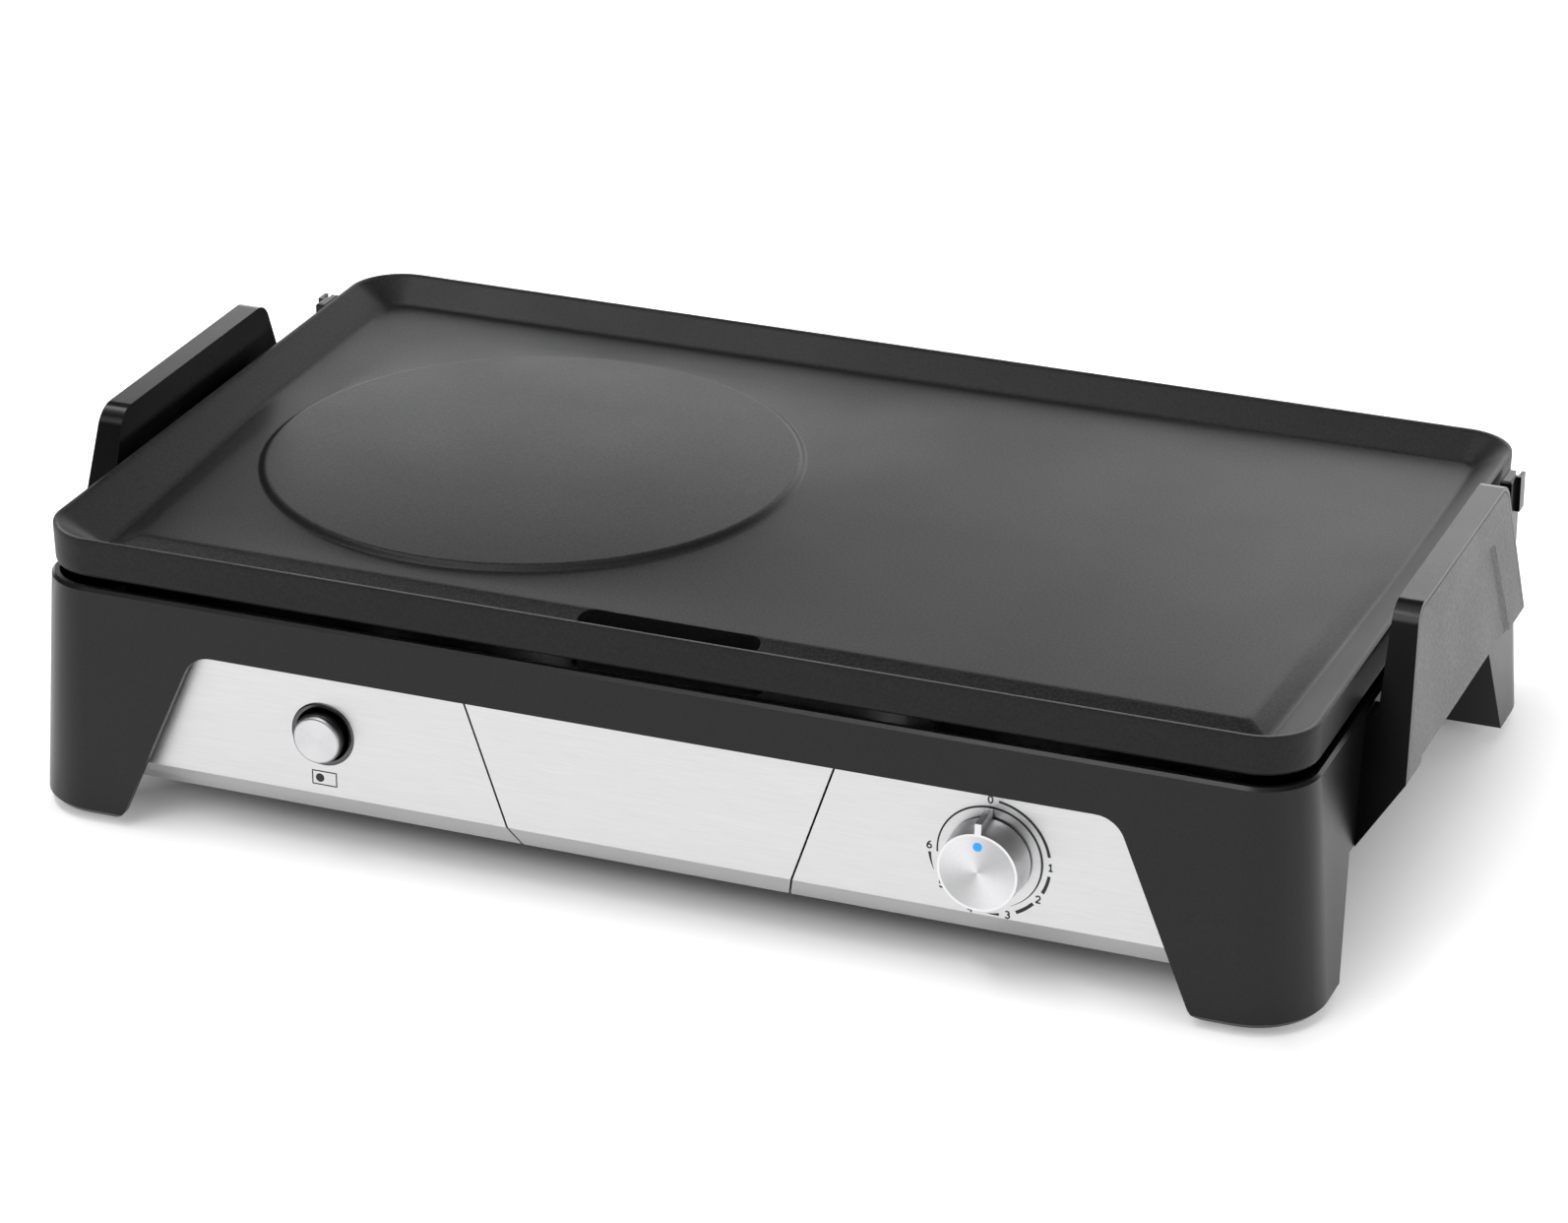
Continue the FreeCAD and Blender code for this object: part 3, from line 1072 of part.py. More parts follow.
FOOT_INNER = (224.0, 124.0)
FOOT_SIZE = 17.0
for x_name, x_sign in (("left", -1), ("right", 1)):
    for y_name, y_sign in (("front", -1), ("rear", 1)):
        xs = sorted((x_sign * FOOT_INNER[0], x_sign * (FOOT_INNER[0] + FOOT_SIZE)))
        ys = sorted((y_sign * FOOT_INNER[1], y_sign * (FOOT_INNER[1] + FOOT_SIZE)))
        foot = rounded(box(xs, ys, (0, LEG_WEB_Z)), 4, lambda e: near(e.Length, LEG_WEB_Z))
        part(f"foot_{y_name}_{x_name}", foot)

# ---------------------------------------------------------------- checks and export

doc.recompute()
for obj in doc.Objects:
    if "Invalid" in obj.State or "Error" in obj.State:
        raise RuntimeError(f"{obj.Label} ({obj.TypeId}) failed: {obj.State}")
os.makedirs("parts", exist_ok=True)
for node, obj in PARTS.items():
    shape = obj.Shape
    if shape.isNull() or not shape.isValid():
        raise RuntimeError(f"{node} has no valid shape")
    shape.exportStep(f"parts/{node}.step")
    print(f"{node}: {len(shape.Solids)} solid(s), {shape.Volume / 1000:.2f} cm3")
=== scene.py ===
import math

import bmesh
import bpy
from mathutils import Matrix, Vector


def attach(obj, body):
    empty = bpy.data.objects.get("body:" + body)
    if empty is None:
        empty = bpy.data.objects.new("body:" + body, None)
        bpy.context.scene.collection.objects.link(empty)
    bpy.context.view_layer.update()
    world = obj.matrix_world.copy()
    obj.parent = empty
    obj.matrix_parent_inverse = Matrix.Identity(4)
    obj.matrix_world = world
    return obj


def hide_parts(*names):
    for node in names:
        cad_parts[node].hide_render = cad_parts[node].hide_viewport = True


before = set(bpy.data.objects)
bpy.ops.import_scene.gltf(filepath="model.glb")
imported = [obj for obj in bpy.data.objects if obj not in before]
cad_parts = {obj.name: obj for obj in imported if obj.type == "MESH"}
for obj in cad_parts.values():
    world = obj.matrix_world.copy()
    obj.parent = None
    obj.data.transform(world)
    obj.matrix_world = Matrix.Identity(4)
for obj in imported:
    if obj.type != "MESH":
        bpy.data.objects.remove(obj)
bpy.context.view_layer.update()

MM = 0.001

# axes of the dial and of the push button, as (x, z) in mm
KNOB = (133.6, 48.0)
BUTTON = (-132.2, 49.5)

# ------------------------------------------------------------------ node helpers


class Shader:
    """A material under construction: short calls that add and link nodes."""

    def __init__(self, name):
        self.material = bpy.data.materials.new(name)
        self.material.use_nodes = True
        self.tree = self.material.node_tree
        self.tree.nodes.clear()
        out = self.node("OutputMaterial")
        self.bsdf = self.node("BsdfPrincipled")
        self.link(self.bsdf.outputs["BSDF"], out.inputs["Surface"])

    def node(self, kind, **props):
        """A new node with some of its properties set."""
        made = self.tree.nodes.new("ShaderNode" + kind)
        for key, value in props.items():
            setattr(made, key, value)
        return made

    def link(self, source, target):
        """Join an output to an input."""
        self.tree.links.new(source, target)

    def set(self, **sockets):
        """Plain values for the surface's sockets; two underscores stand for a space."""
        for key, value in sockets.items():
            self.bsdf.inputs[key.replace("__", " ")].default_value = value

    def place(self, scale=(1, 1, 1), offset=(0, 0, 0)):
        """Object coordinates, scaled; the object's origin is the model's origin."""
        coords = self.node("TexCoord")
        mapping = self.node("Mapping")
        mapping.inputs["Scale"].default_value = scale
        mapping.inputs["Location"].default_value = offset
        self.link(coords.outputs["Object"], mapping.inputs["Vector"])
        return mapping.outputs["Vector"]

    def noise(self, vector, scale, detail=3.0, rough=0.5):
        """A noise between 0 and 1 at a place."""
        made = self.node("TexNoise")
        made.inputs["Scale"].default_value = scale
        made.inputs["Detail"].default_value = detail
        made.inputs["Roughness"].default_value = rough
        self.link(vector, made.inputs["Vector"])
        return made.outputs["Fac"]

    def ramp(self, value, low, high, out_low=0.0, out_high=1.0):
        """A value taken from one range to another, and held at its ends."""
        made = self.node("MapRange")
        made.inputs["From Min"].default_value = low
        made.inputs["From Max"].default_value = high
        made.inputs["To Min"].default_value = out_low
        made.inputs["To Max"].default_value = out_high
        self.link(value, made.inputs["Value"])
        return made.outputs["Result"]

    def between(self, noise, out_low=0.0, out_high=1.0):
        """A noise's usual range taken to another range."""
        return self.ramp(noise, 0.3, 0.7, out_low, out_high)

    def tint(self, value, low_colour, high_colour):
        """The base colour, mixed from two colours by a value."""
        made = self.node("Mix", data_type="RGBA")
        made.inputs[6].default_value = (*low_colour, 1)
        made.inputs[7].default_value = (*high_colour, 1)
        self.link(value, made.inputs["Factor"])
        self.link(made.outputs[2], self.bsdf.inputs["Base Color"])

    def rough(self, value):
        """The roughness, from another node."""
        self.link(value, self.bsdf.inputs["Roughness"])

    def bump(self, height, strength, distance):
        """Relief from a height."""
        made = self.node("Bump")
        made.inputs["Strength"].default_value = strength
        made.inputs["Distance"].default_value = distance
        self.link(height, made.inputs["Height"])
        self.link(made.outputs["Normal"], self.bsdf.inputs["Normal"])

    def maths(self, mode, first, second=0.0):
        """A math node on one or two values, each a number or another node's output."""
        made = self.node("Math", operation=mode)
        for socket, value in zip(made.inputs, (first, second)):
            if isinstance(value, (int, float)):
                socket.default_value = value
            else:
                self.link(value, socket)
        return made.outputs[0]

    def normal_part(self, axis):
        """One component of the surface's normal, in the piece's own axes."""
        split = self.node("SeparateXYZ")
        self.link(self.node("TexCoord").outputs["Normal"], split.inputs[0])
        return split.outputs[axis]

    def steepness(self, level, upright):
        """0 on faces that lie flat, 1 on faces that stand up."""
        return self.ramp(self.normal_part("Z"), upright, level, 1.0, 0.0)


# ------------------------------------------------------------------ materials

# depth of the relief, in metres
GRAIN_DEPTH = 0.0002
SCRATCH_DEPTH = 0.0001


def scaled(colour, factor):
    """A colour made darker or lighter."""
    return tuple(c * factor for c in colour)


def nonstick(name):
    """Dark non-stick coat: satin on the level table, rougher cast grit on the rim and the skirt, and
    painted shade that darkens the colour of the faces that stand up.
    """
    m = Shader(name)
    grit = m.noise(m.place(), 900, 2.0, 0.6)
    coarse = m.noise(m.place(), 430, 3.0, 0.65)
    cloud = m.noise(m.place(), 14, 3.0, 0.55)
    steep = m.steepness(level=0.97, upright=0.80)
    # painted shade: faces that stand up, the skirt and the rim walls, take a darker base colour, down to
    # 0.30 of the grit's tone
    grit_and_painted_shade = m.maths("MULTIPLY", m.ramp(grit, 0.35, 0.7), m.ramp(steep, 0.0, 1.0, 1.0, 0.30))
    m.tint(grit_and_painted_shade, (0.005, 0.005, 0.006), (0.024, 0.024, 0.025))
    m.rough(m.maths("ADD", m.between(cloud, 0.36, 0.42), m.ramp(steep, 0.0, 1.0, 0.0, 0.06)))
    cast = m.maths("MULTIPLY", coarse, m.ramp(steep, 0.0, 1.0, 0.0, 2.2))
    m.bump(m.maths("ADD", grit, cast), 0.14, GRAIN_DEPTH)
    m.set(Specular__IOR__Level=0.22)
    return m.material


def moulded(name, dark, light, rough, grain, grain_scale=1500, specular=0.5):
    """Moulded plastic: eroded grain, faint variation of tone and gloss."""
    m = Shader(name)
    fine = m.noise(m.place(), grain_scale, 2.0, 0.55)
    broad = m.noise(m.place(), 22, 3.0, 0.5)
    m.tint(m.ramp(fine, 0.35, 0.65), dark, light)
    m.rough(m.between(broad, *rough))
    m.bump(fine, grain, GRAIN_DEPTH)
    m.set(Specular__IOR__Level=specular)
    return m.material


def brushed(name, colour, stretch, rough, anisotropy, spread=0.05):
    """Brushed metal: noise drawn out along one direction."""
    m = Shader(name)
    along = m.place(scale=stretch)
    hair = m.noise(along, 60, 4.0, 0.65)
    streak = m.noise(along, 9, 3.0, 0.5)
    m.tint(m.between(hair), scaled(colour, 1 - spread), scaled(colour, 1 + spread))
    m.rough(m.between(streak, *rough))
    m.bump(hair, 0.06, SCRATCH_DEPTH)
    m.set(Metallic=1.0, Anisotropic=anisotropy)
    return m.material


def spun(name, colour, axis, rough, side=0.9, painted_reflection=0.0):
    """Metal turned on a lathe: rings round an axis along Y, painted shade that darkens the rim wall, and
    pale and dark sectors of painted reflection.
    """
    m = Shader(name)
    split = m.node("SeparateXYZ")
    m.link(m.place(offset=(-axis[0] * MM, 0, -axis[1] * MM)), split.inputs[0])
    join = m.node("CombineXYZ")
    m.link(split.outputs["X"], join.inputs["X"])
    m.link(split.outputs["Z"], join.inputs["Y"])
    radius = m.node("VectorMath", operation="LENGTH")
    m.link(join.outputs[0], radius.inputs[0])
    rings = m.node("TexNoise", noise_dimensions="1D")
    rings.inputs["Scale"].default_value = 9000
    rings.inputs["Detail"].default_value = 3.0
    m.link(radius.outputs["Value"], rings.inputs["W"])
    ring = rings.outputs["Fac"]
    # painted reflection: the colour swings twice round the axis, pale and dark sectors in place of the
    # spun face's highlight
    turn = m.maths("ARCTAN2", split.outputs["Z"], split.outputs["X"])
    painted_reflection_wave = m.maths("SINE", m.maths("MULTIPLY", turn, 2.0))
    # painted shade: faces that do not face along Y, the rim wall, fall to the dark colour scaled by side
    facing = m.ramp(m.maths("ABSOLUTE", m.normal_part("Y")), 0.5, 0.95)
    ring_tone_and_painted_wall_shade = m.maths("MULTIPLY", m.between(ring, 0.88, 1.0), facing)
    value = m.maths("MULTIPLY", ring_tone_and_painted_wall_shade, m.ramp(painted_reflection_wave, -1.0, 1.0, 1.0, 1.0 - painted_reflection))
    m.tint(value, scaled(colour, side), scaled(colour, 1 + painted_reflection / 3))
    m.rough(m.between(ring, rough - 0.04, rough + 0.06))
    m.bump(ring, 0.12, SCRATCH_DEPTH)
    m.set(Metallic=1.0, Anisotropic=0.75)
    tangent = m.node("Tangent", direction_type="RADIAL", axis="Y")
    m.link(tangent.outputs[0], m.bsdf.inputs["Tangent"])
    return m.material


def plain_metal(name, colour, rough, metallic=1.0, marks=0.04, spread=0.18):
    """Sheet or turned metal with faint stains and scratches."""
    m = Shader(name)
    stain = m.noise(m.place(), 60, 4.0, 0.6)
    scratch = m.noise(m.place(scale=(1, 9, 9)), 240, 3.0, 0.6)
    m.tint(m.between(stain), scaled(colour, 1 - spread), colour)
    m.rough(m.between(stain, rough - marks, rough + marks))
    m.bump(scratch, 0.05, SCRATCH_DEPTH)
    m.set(Metallic=metallic)
    return m.material


def ink(name, colour):
    """Screen-printed ink with a slight edge of grain."""
    m = Shader(name)
    speck = m.noise(m.place(), 2500, 2.0, 0.5)
    m.tint(m.between(speck), scaled(colour, 0.6), colour)
    m.rough(m.between(speck, 0.45, 0.6))
    m.bump(speck, 0.05, SCRATCH_DEPTH)
    return m.material


def lens(name):
    """Blue translucent indicator with a faint glow."""
    m = Shader(name)
    cloud = m.noise(m.place(), 800, 2.0, 0.5)
    m.tint(m.between(cloud), (0.0, 0.20, 0.80), (0.01, 0.30, 1.0))
    m.rough(m.between(cloud, 0.12, 0.2))
    m.set(Emission__Color=(0.01, 0.28, 1.0, 1), Emission__Strength=0.45)
    return m.material


MAT = {
    "plate": nonstick("nonstick_coat"),
    "housing": moulded("black_housing", (0.003, 0.003, 0.003), (0.007, 0.007, 0.007),
                       rough=(0.28, 0.34), grain=0.08, specular=0.30),
    "handle": moulded("handle_black", (0.001, 0.001, 0.001), (0.0025, 0.0025, 0.0025),
                      rough=(0.24, 0.29), grain=0.06, specular=0.30),
    "grain": moulded("handle_grain", (0.065, 0.065, 0.067), (0.11, 0.11, 0.112),
                     rough=(0.45, 0.55), grain=0.35, grain_scale=700),
    "steel": brushed("brushed_fascia", (0.59, 0.59, 0.595), stretch=(1.2, 60, 60),
                     rough=(0.29, 0.36), anisotropy=0.55),
    "inner": plain_metal("sheet_steel", (0.55, 0.55, 0.56), rough=0.35),
    "sheet": plain_metal("aluminised_sheet", (0.75, 0.75, 0.76), rough=0.32),
    "element": plain_metal("element_tube", (0.16, 0.15, 0.15), rough=0.42, metallic=0.9),
    "screw": plain_metal("zinc_plate", (0.58, 0.58, 0.60), rough=0.28),
    "knob_side": plain_metal("knob_side", (0.74, 0.74, 0.75), rough=0.38, marks=0.02, spread=0.03),
    # the side values paint shade on the rim walls of the dial, the button cap and the bezel; the dial face
    # also has painted reflection sectors
    "knob_face": spun("knob_face", (0.60, 0.60, 0.61), KNOB, rough=0.27, side=0.35, painted_reflection=0.55),
    "cap": spun("button_cap", (0.62, 0.62, 0.63), BUTTON, rough=0.30, side=0.14),
    "bezel": spun("dark_chrome", (0.10, 0.10, 0.103), BUTTON, rough=0.22, side=0.5),
    "lens": lens("blue_lens"),
    "rubber": moulded("rubber", (0.012, 0.012, 0.012), (0.022, 0.022, 0.022),
                      rough=(0.7, 0.85), grain=0.2, grain_scale=1200),
    "pale": moulded("pale_moulding", (0.60, 0.58, 0.52), (0.70, 0.68, 0.62), rough=(0.5, 0.6), grain=0.1),
    "wire": moulded("silicone_wire", (0.35, 0.04, 0.03), (0.45, 0.06, 0.04), rough=(0.4, 0.5), grain=0.05),
    "ink": ink("dark_ink", (0.010, 0.010, 0.011)),
}

# ------------------------------------------------------------------ mesh helpers

SMOOTH_BELOW = 35
BEVEL_ABOVE = 28
SOFTENED_SMOOTH_BELOW = 32


def finish_piece(piece, body, material, slot_name, *replaced):
    """Give a new piece its material and body; slot_name is not used."""
    piece.data.materials.clear()
    piece.data.materials.append(MAT[material])
    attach(piece, body)
    if replaced:
        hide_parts(*replaced)


def shade(target, angle):
    """Smooth shading, with creases kept where faces meet at more than an angle."""
    mesh = target.data
    mesh.polygons.foreach_set("use_smooth", [True] * len(mesh.polygons))
    work = bmesh.new()
    work.from_mesh(mesh)
    limit = math.radians(angle)
    for edge in work.edges:
        edge.smooth = len(edge.link_faces) == 2 and edge.calc_face_angle(0) < limit
    work.to_mesh(mesh)
    work.free()


def from_bmesh(name, work, smooth_angle=SMOOTH_BELOW):
    """A shaded object from a bmesh."""
    mesh = bpy.data.meshes.new(name)
    work.normal_update()
    work.to_mesh(mesh)
    work.free()
    made = bpy.data.objects.new(name, mesh)
    bpy.context.collection.objects.link(made)
    shade(made, smooth_angle)
    return made


def apply_modifiers(target):
    """Bake an object's modifiers into its mesh."""
    bpy.context.view_layer.update()
    graph = bpy.context.evaluated_depsgraph_get()
    baked = bpy.data.meshes.new_from_object(target.evaluated_get(graph))
    target.modifiers.clear()
    old = target.data
    target.data = baked
    bpy.data.meshes.remove(old)


def bare_copy(node, name):
    """A copy of a CAD node without its parent and tags, its flat faces whole and its seams joined."""
    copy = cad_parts[node].copy()
    copy.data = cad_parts[node].data.copy()
    copy.name = name
    bpy.context.collection.objects.link(copy)
    copy.parent = None
    copy.matrix_world = Matrix.Identity(4)
    for key in list(copy.keys()):
        del copy[key]
    work = bmesh.new()
    work.from_mesh(copy.data)
    bmesh.ops.remove_doubles(work, verts=work.verts, dist=1e-6)
    bmesh.ops.dissolve_limit(work, angle_limit=math.radians(0.6), verts=work.verts, edges=work.edges)
    work.to_mesh(copy.data)
    work.free()
    copy.data.polygons.foreach_set("use_smooth", [False] * len(copy.data.polygons))
    return copy


def softened(node, name, body, material, slot_name, rounding, segments=3):
    """A copy of a CAD node with its hard edges rounded, in mm, which stands for that node."""
    copy = bare_copy(node, name)
    bevel = copy.modifiers.new("round", "BEVEL")
    bevel.width = rounding * MM
    bevel.segments = segments
    bevel.limit_method = "ANGLE"
    bevel.angle_limit = math.radians(BEVEL_ABOVE)
    bevel.use_clamp_overlap = True
    apply_modifiers(copy)
    shade(copy, SOFTENED_SMOOTH_BELOW)
    level = copy.modifiers.new("level", "WEIGHTED_NORMAL")
    level.keep_sharp = True
    level.weight = 100
    apply_modifiers(copy)
    copy.hide_render = False
    finish_piece(copy, body, material, slot_name, node)


def paint(node, material):
    """A carried-over CAD node keeps its shape and takes a material."""
    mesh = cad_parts[node].data
    mesh.materials.clear()
    mesh.materials.append(MAT[material])


def on_circle(centre, radius, turn):
    """A point on a circle, its angle in radians."""
    return centre[0] + radius * math.cos(turn), centre[1] + radius * math.sin(turn)


def lifted(work, points, height):
    """Vertices over plan points given in mm."""
    return [work.verts.new((x * MM, y * MM, height * MM)) for x, y in points]


def stitch(work, outer, inner):
    """Quads between two loops of equal count."""
    count = len(outer)
    for k in range(count):
        work.faces.new((outer[k], outer[(k + 1) % count], inner[(k + 1) % count], inner[k]))


def prism_object(name, points, low, high):
    """An upright prism over a plan outline."""
    work = bmesh.new()
    bottom = lifted(work, points, low)
    top = lifted(work, points, high)
    stitch(work, bottom, top)
    work.faces.new(top)
    work.faces.new(list(reversed(bottom)))
    return from_bmesh(name, work)


def boolean(target, tool, operation):
    """Cut or join a tool object, which is then removed."""
    step = target.modifiers.new("cut", "BOOLEAN")
    step.object = tool
    step.operation = operation
    step.solver = "EXACT"
    apply_modifiers(target)
    bpy.data.objects.remove(tool)


# ------------------------------------------------------------------ cast cooking plate

# all in mm; an inset is measured inwards from the plate's edge
PLATE_HALF_X = 250.0
PLATE_HALF_Y = 149.5
CORNER = 22.0
TIGHTEST_CORNER = 3.0
CORNER_STEPS = 24
QUADRANTS = ((1, 1), (-1, 1), (-1, -1), (1, -1))
SIDE_STEPS = (100, 60, 100, 60)

RIM_Z = 115.1
LIP = 1.6
FLOOR_DROP = 8.5
SLOPE = 13.4 / FLOOR_DROP
GUTTER_DROP = 3.1
GUTTER_START = 15.0
FLANK = 10.0
SMOOTHING = 2.4
SMOOTHING_SAMPLES = 9

TABLE_INSET = 36.0
RING_SPACING = 0.8
LIP_INSETS = (1.2, 0.9, 0.6, 0.35, 0.15)
EDGE_RADIUS = 0.7
EDGE_STEPS = 4
EDGE_START = 0.02
EDGE_FALL = 0.1

SKIRT_Z = 99.2
SKIRT_DRAFT = 0.4
SKIRT_ROUND = 2.4
SKIRT_ROUND_STEPS = 5
SKIRT_EDGE = 2.2
SKIRT_LEVELS = (112.0, 108.0, 105.0, SKIRT_Z + SKIRT_ROUND)
HEM = ((7.4, SKIRT_Z), (8.0, SKIRT_Z + 0.5), (8.2, 101.6))

ZONE_CENTRE = (-110.5, 1.5)
ZONE_RADIUS = 106.8
ZONE_SIDES = 192
# outwards of the zone's edge, and above the table
ZONE_RISE = (
    (1.2, 0.0), (0.8, 0.06), (0.3, 0.28), (-0.3, 0.75),
    (-1.0, 1.35), (-1.6, 1.75), (-2.2, 1.94), (-3.0, 2.0),
)

SLOT_Y = -124.6
SLOT_HALF_WIDTH = 5.5
SLOT_STRAIGHT = 30.5
SLOT_END_STEPS = 16
SLOT_CUT = (80.0, 125.0)
SLOT_ROUNDING = 1.7
SPOUT_WALL = 2.0
SPOUT_LEVELS = (88.0, 104.0)


def gutter_depth(y):
    """How much deeper than the table the channel is at a place front to back."""
    run = (GUTTER_START - y) / (GUTTER_START + PLATE_HALF_Y - CORNER)
    return GUTTER_DROP * min(1.0, max(0.0, run))


def rim_profile(inset, deeper):
    """Drop below the rim at an inset from the plate's edge, before its corners are eased."""
    bottom = FLOOR_DROP + deeper
    slope_end = LIP + SLOPE * bottom
    if inset <= LIP:
        return 0.0
    if inset <= slope_end:
        return (inset - LIP) / SLOPE
    if deeper <= 0:
        return FLOOR_DROP
    return max(FLOOR_DROP, bottom - deeper * (inset - slope_end) / FLANK)


def eased_profile(inset, deeper):
    """The profile averaged over a short width, so its corners are fillets."""
    width = min(SMOOTHING, 0.5 + inset * 0.5)
    shifts = [width * (k / (SMOOTHING_SAMPLES - 1) - 0.5) for k in range(SMOOTHING_SAMPLES)]
    return sum(rim_profile(inset + shift, deeper) for shift in shifts) / SMOOTHING_SAMPLES


def outline(inset):
    """Points round the plate at an inset, always the same count and order."""
    radius = max(CORNER - inset, TIGHTEST_CORNER)
    half_x = PLATE_HALF_X - inset - radius
    half_y = PLATE_HALF_Y - inset - radius
    centres = [(side_x * half_x, side_y * half_y) for side_x, side_y in QUADRANTS]
    points = []
    for k, centre in enumerate(centres):
        for step in range(CORNER_STEPS + 1):
            points.append(on_circle(centre, radius, (k + step / CORNER_STEPS) * math.pi / 2))
        start = points[-1]
        end = on_circle(centres[(k + 1) % len(centres)], radius, (k + 1) * math.pi / 2)
        for step in range(1, SIDE_STEPS[k]):
            f = step / SIDE_STEPS[k]
            points.append((start[0] + (end[0] - start[0]) * f, start[1] + (end[1] - start[1]) * f))
    return points


def level_ring(work, inset, height):
    """One loop of vertices round the plate, all at one height."""
    return lifted(work, outline(inset), height)


def surface_ring(work, inset):
    """One loop of vertices on the plate's upper surface."""
    verts = []
    for x, y in outline(inset):
        z = RIM_Z - eased_profile(inset, gutter_depth(y))
        verts.append(work.verts.new((x * MM, y * MM, z * MM)))
    return verts


def add_casting(work):
    """Rings from the table over the rim, down the skirt and in below; the table stays open."""
    count = int((TABLE_INSET - LIP) / RING_SPACING) + 1
    insets = [TABLE_INSET - k * RING_SPACING for k in range(count)]
    loops = [surface_ring(work, inset) for inset in (*insets, *LIP_INSETS)]
    for step in range(1, EDGE_STEPS + 1):
        drop = EDGE_RADIUS * (1 - math.cos(step / EDGE_STEPS * math.pi / 2))
        inset = LIP_INSETS[-1] * (1 - step / EDGE_STEPS)
        loops.append(level_ring(work, inset, RIM_Z - EDGE_START - drop - EDGE_FALL * step))
    for z in SKIRT_LEVELS:
        loops.append(level_ring(work, SKIRT_DRAFT * (RIM_Z - z) / (RIM_Z - SKIRT_Z - SKIRT_ROUND), z))
    for step in range(1, SKIRT_ROUND_STEPS + 1):
        turn = step / SKIRT_ROUND_STEPS * math.pi / 2
        inset = SKIRT_DRAFT + (SKIRT_EDGE - SKIRT_DRAFT) * (1 - math.cos(turn))
        loops.append(level_ring(work, inset, SKIRT_Z + SKIRT_ROUND * (1 - math.sin(turn))))
    for inset, z in HEM:
        loops.append(level_ring(work, inset, z))
    for inner, outer in zip(loops, loops[1:]):
        stitch(work, outer, inner)
    work.faces.new(loops[-1])


def add_zone(work):
    """The raised round zone with its soft step."""
    centre = (ZONE_CENTRE[0] * MM, ZONE_CENTRE[1] * MM)
    table_z = RIM_Z - FLOOR_DROP
    loops = []
    for grow, up in ZONE_RISE:
        turns = [2 * math.pi * k / ZONE_SIDES for k in range(ZONE_SIDES)]
        points = [on_circle(centre, (ZONE_RADIUS + grow) * MM, turn) for turn in turns]
        loops.append([work.verts.new((x, y, (table_z + up) * MM)) for x, y in points])
    for outer, inner in zip(loops, loops[1:]):
        stitch(work, outer, inner)
    work.faces.new(loops[-1])


def slot_outline(grow=0.0):
    """The drain slot's plan with its round ends, grown all round."""
    points = []
    for side in (1, -1):
        for step in range(SLOT_END_STEPS + 1):
            turn = -side * math.pi / 2 + math.pi * step / SLOT_END_STEPS
            points.append(on_circle((side * SLOT_STRAIGHT, SLOT_Y), SLOT_HALF_WIDTH + grow, turn))
    return points


def round_slot(plate):
    """Ease the drain slot's edges."""
    work = bmesh.new()
    work.from_mesh(plate.data)

    def on_wall(vert):
        x, y = vert.co.x / MM, vert.co.y / MM
        beyond = max(0.0, abs(x) - SLOT_STRAIGHT)
        return abs(math.hypot(beyond, y - SLOT_Y) - SLOT_HALF_WIDTH) < 0.08

    chosen = []
    for edge in work.edges:
        if len(edge.link_faces) != 2 or not all(on_wall(v) for v in edge.verts):
            continue
        if edge.calc_face_angle(0) > math.radians(40):
            chosen.append(edge)
    bmesh.ops.bevel(work, geom=chosen, offset=SLOT_ROUNDING * MM, offset_type="OFFSET", segments=6,
                    profile=0.5, affect="EDGES", clamp_overlap=True)
    work.to_mesh(plate.data)
    work.free()


def build_plate():
    """The casting: rim, channel, table, raised round zone, skirt, underside, drain slot and spout."""
    work = bmesh.new()
    add_casting(work)
    add_zone(work)
    open_edges = [edge for edge in work.edges if len(edge.link_faces) == 1]
    bmesh.ops.triangle_fill(work, edges=open_edges, use_beauty=True, normal=(0, 0, 1))
    bmesh.ops.recalc_face_normals(work, faces=work.faces)
    plate = from_bmesh("plate_casting", work, 50)
    boolean(plate, prism_object("spout", slot_outline(SPOUT_WALL), *SPOUT_LEVELS), "UNION")
    boolean(plate, prism_object("slot", slot_outline(), *SLOT_CUT), "DIFFERENCE")
    round_slot(plate)
    shade(plate, 38)
    finish_piece(plate, "plate", "plate", "plate_nonstick", "cooking_plate")


build_plate()

# ------------------------------------------------------------------ shells with eased edges

softened("base_housing", "base_shell", "base", "housing", "black_housing", 0.7)
softened("control_panel_left", "left_fascia", "base", "steel", "fascia_steel", 0.25, segments=2)
softened("control_panel_right", "right_fascia", "base", "steel", "fascia_steel", 0.25, segments=2)
softened("drip_tray_front", "tray_fascia", "tray", "steel", "fascia_steel", 0.25, segments=2)
for side in ("left", "right"):
    softened(f"handle_frame_{side}", f"handle_shell_{side}", "base", "handle", "handle_black", 0.9)
    softened(f"handle_cover_{side}", f"handle_inlay_{side}", "base", "grain", "handle_grain", 0.35)
    softened(f"splash_guard_clip_{side}", f"guard_clip_{side}", "base", "handle", "handle_black", 0.4)
softened("button_bezel", "bezel_ring", "base", "bezel", "chrome_trim", 0.25, segments=2)
softened("zone_button", "button_cap", "button", "cap", "chrome_trim", 0.3)
softened("thermostat_knob", "dial_body", "dial", "knob_side", "knob_metal", 0.35)
softened("drip_tray", "drip_tray_shell", "tray", "housing", "black_housing", 0.4)

# ------------------------------------------------------------------ CAD pieces kept as they are

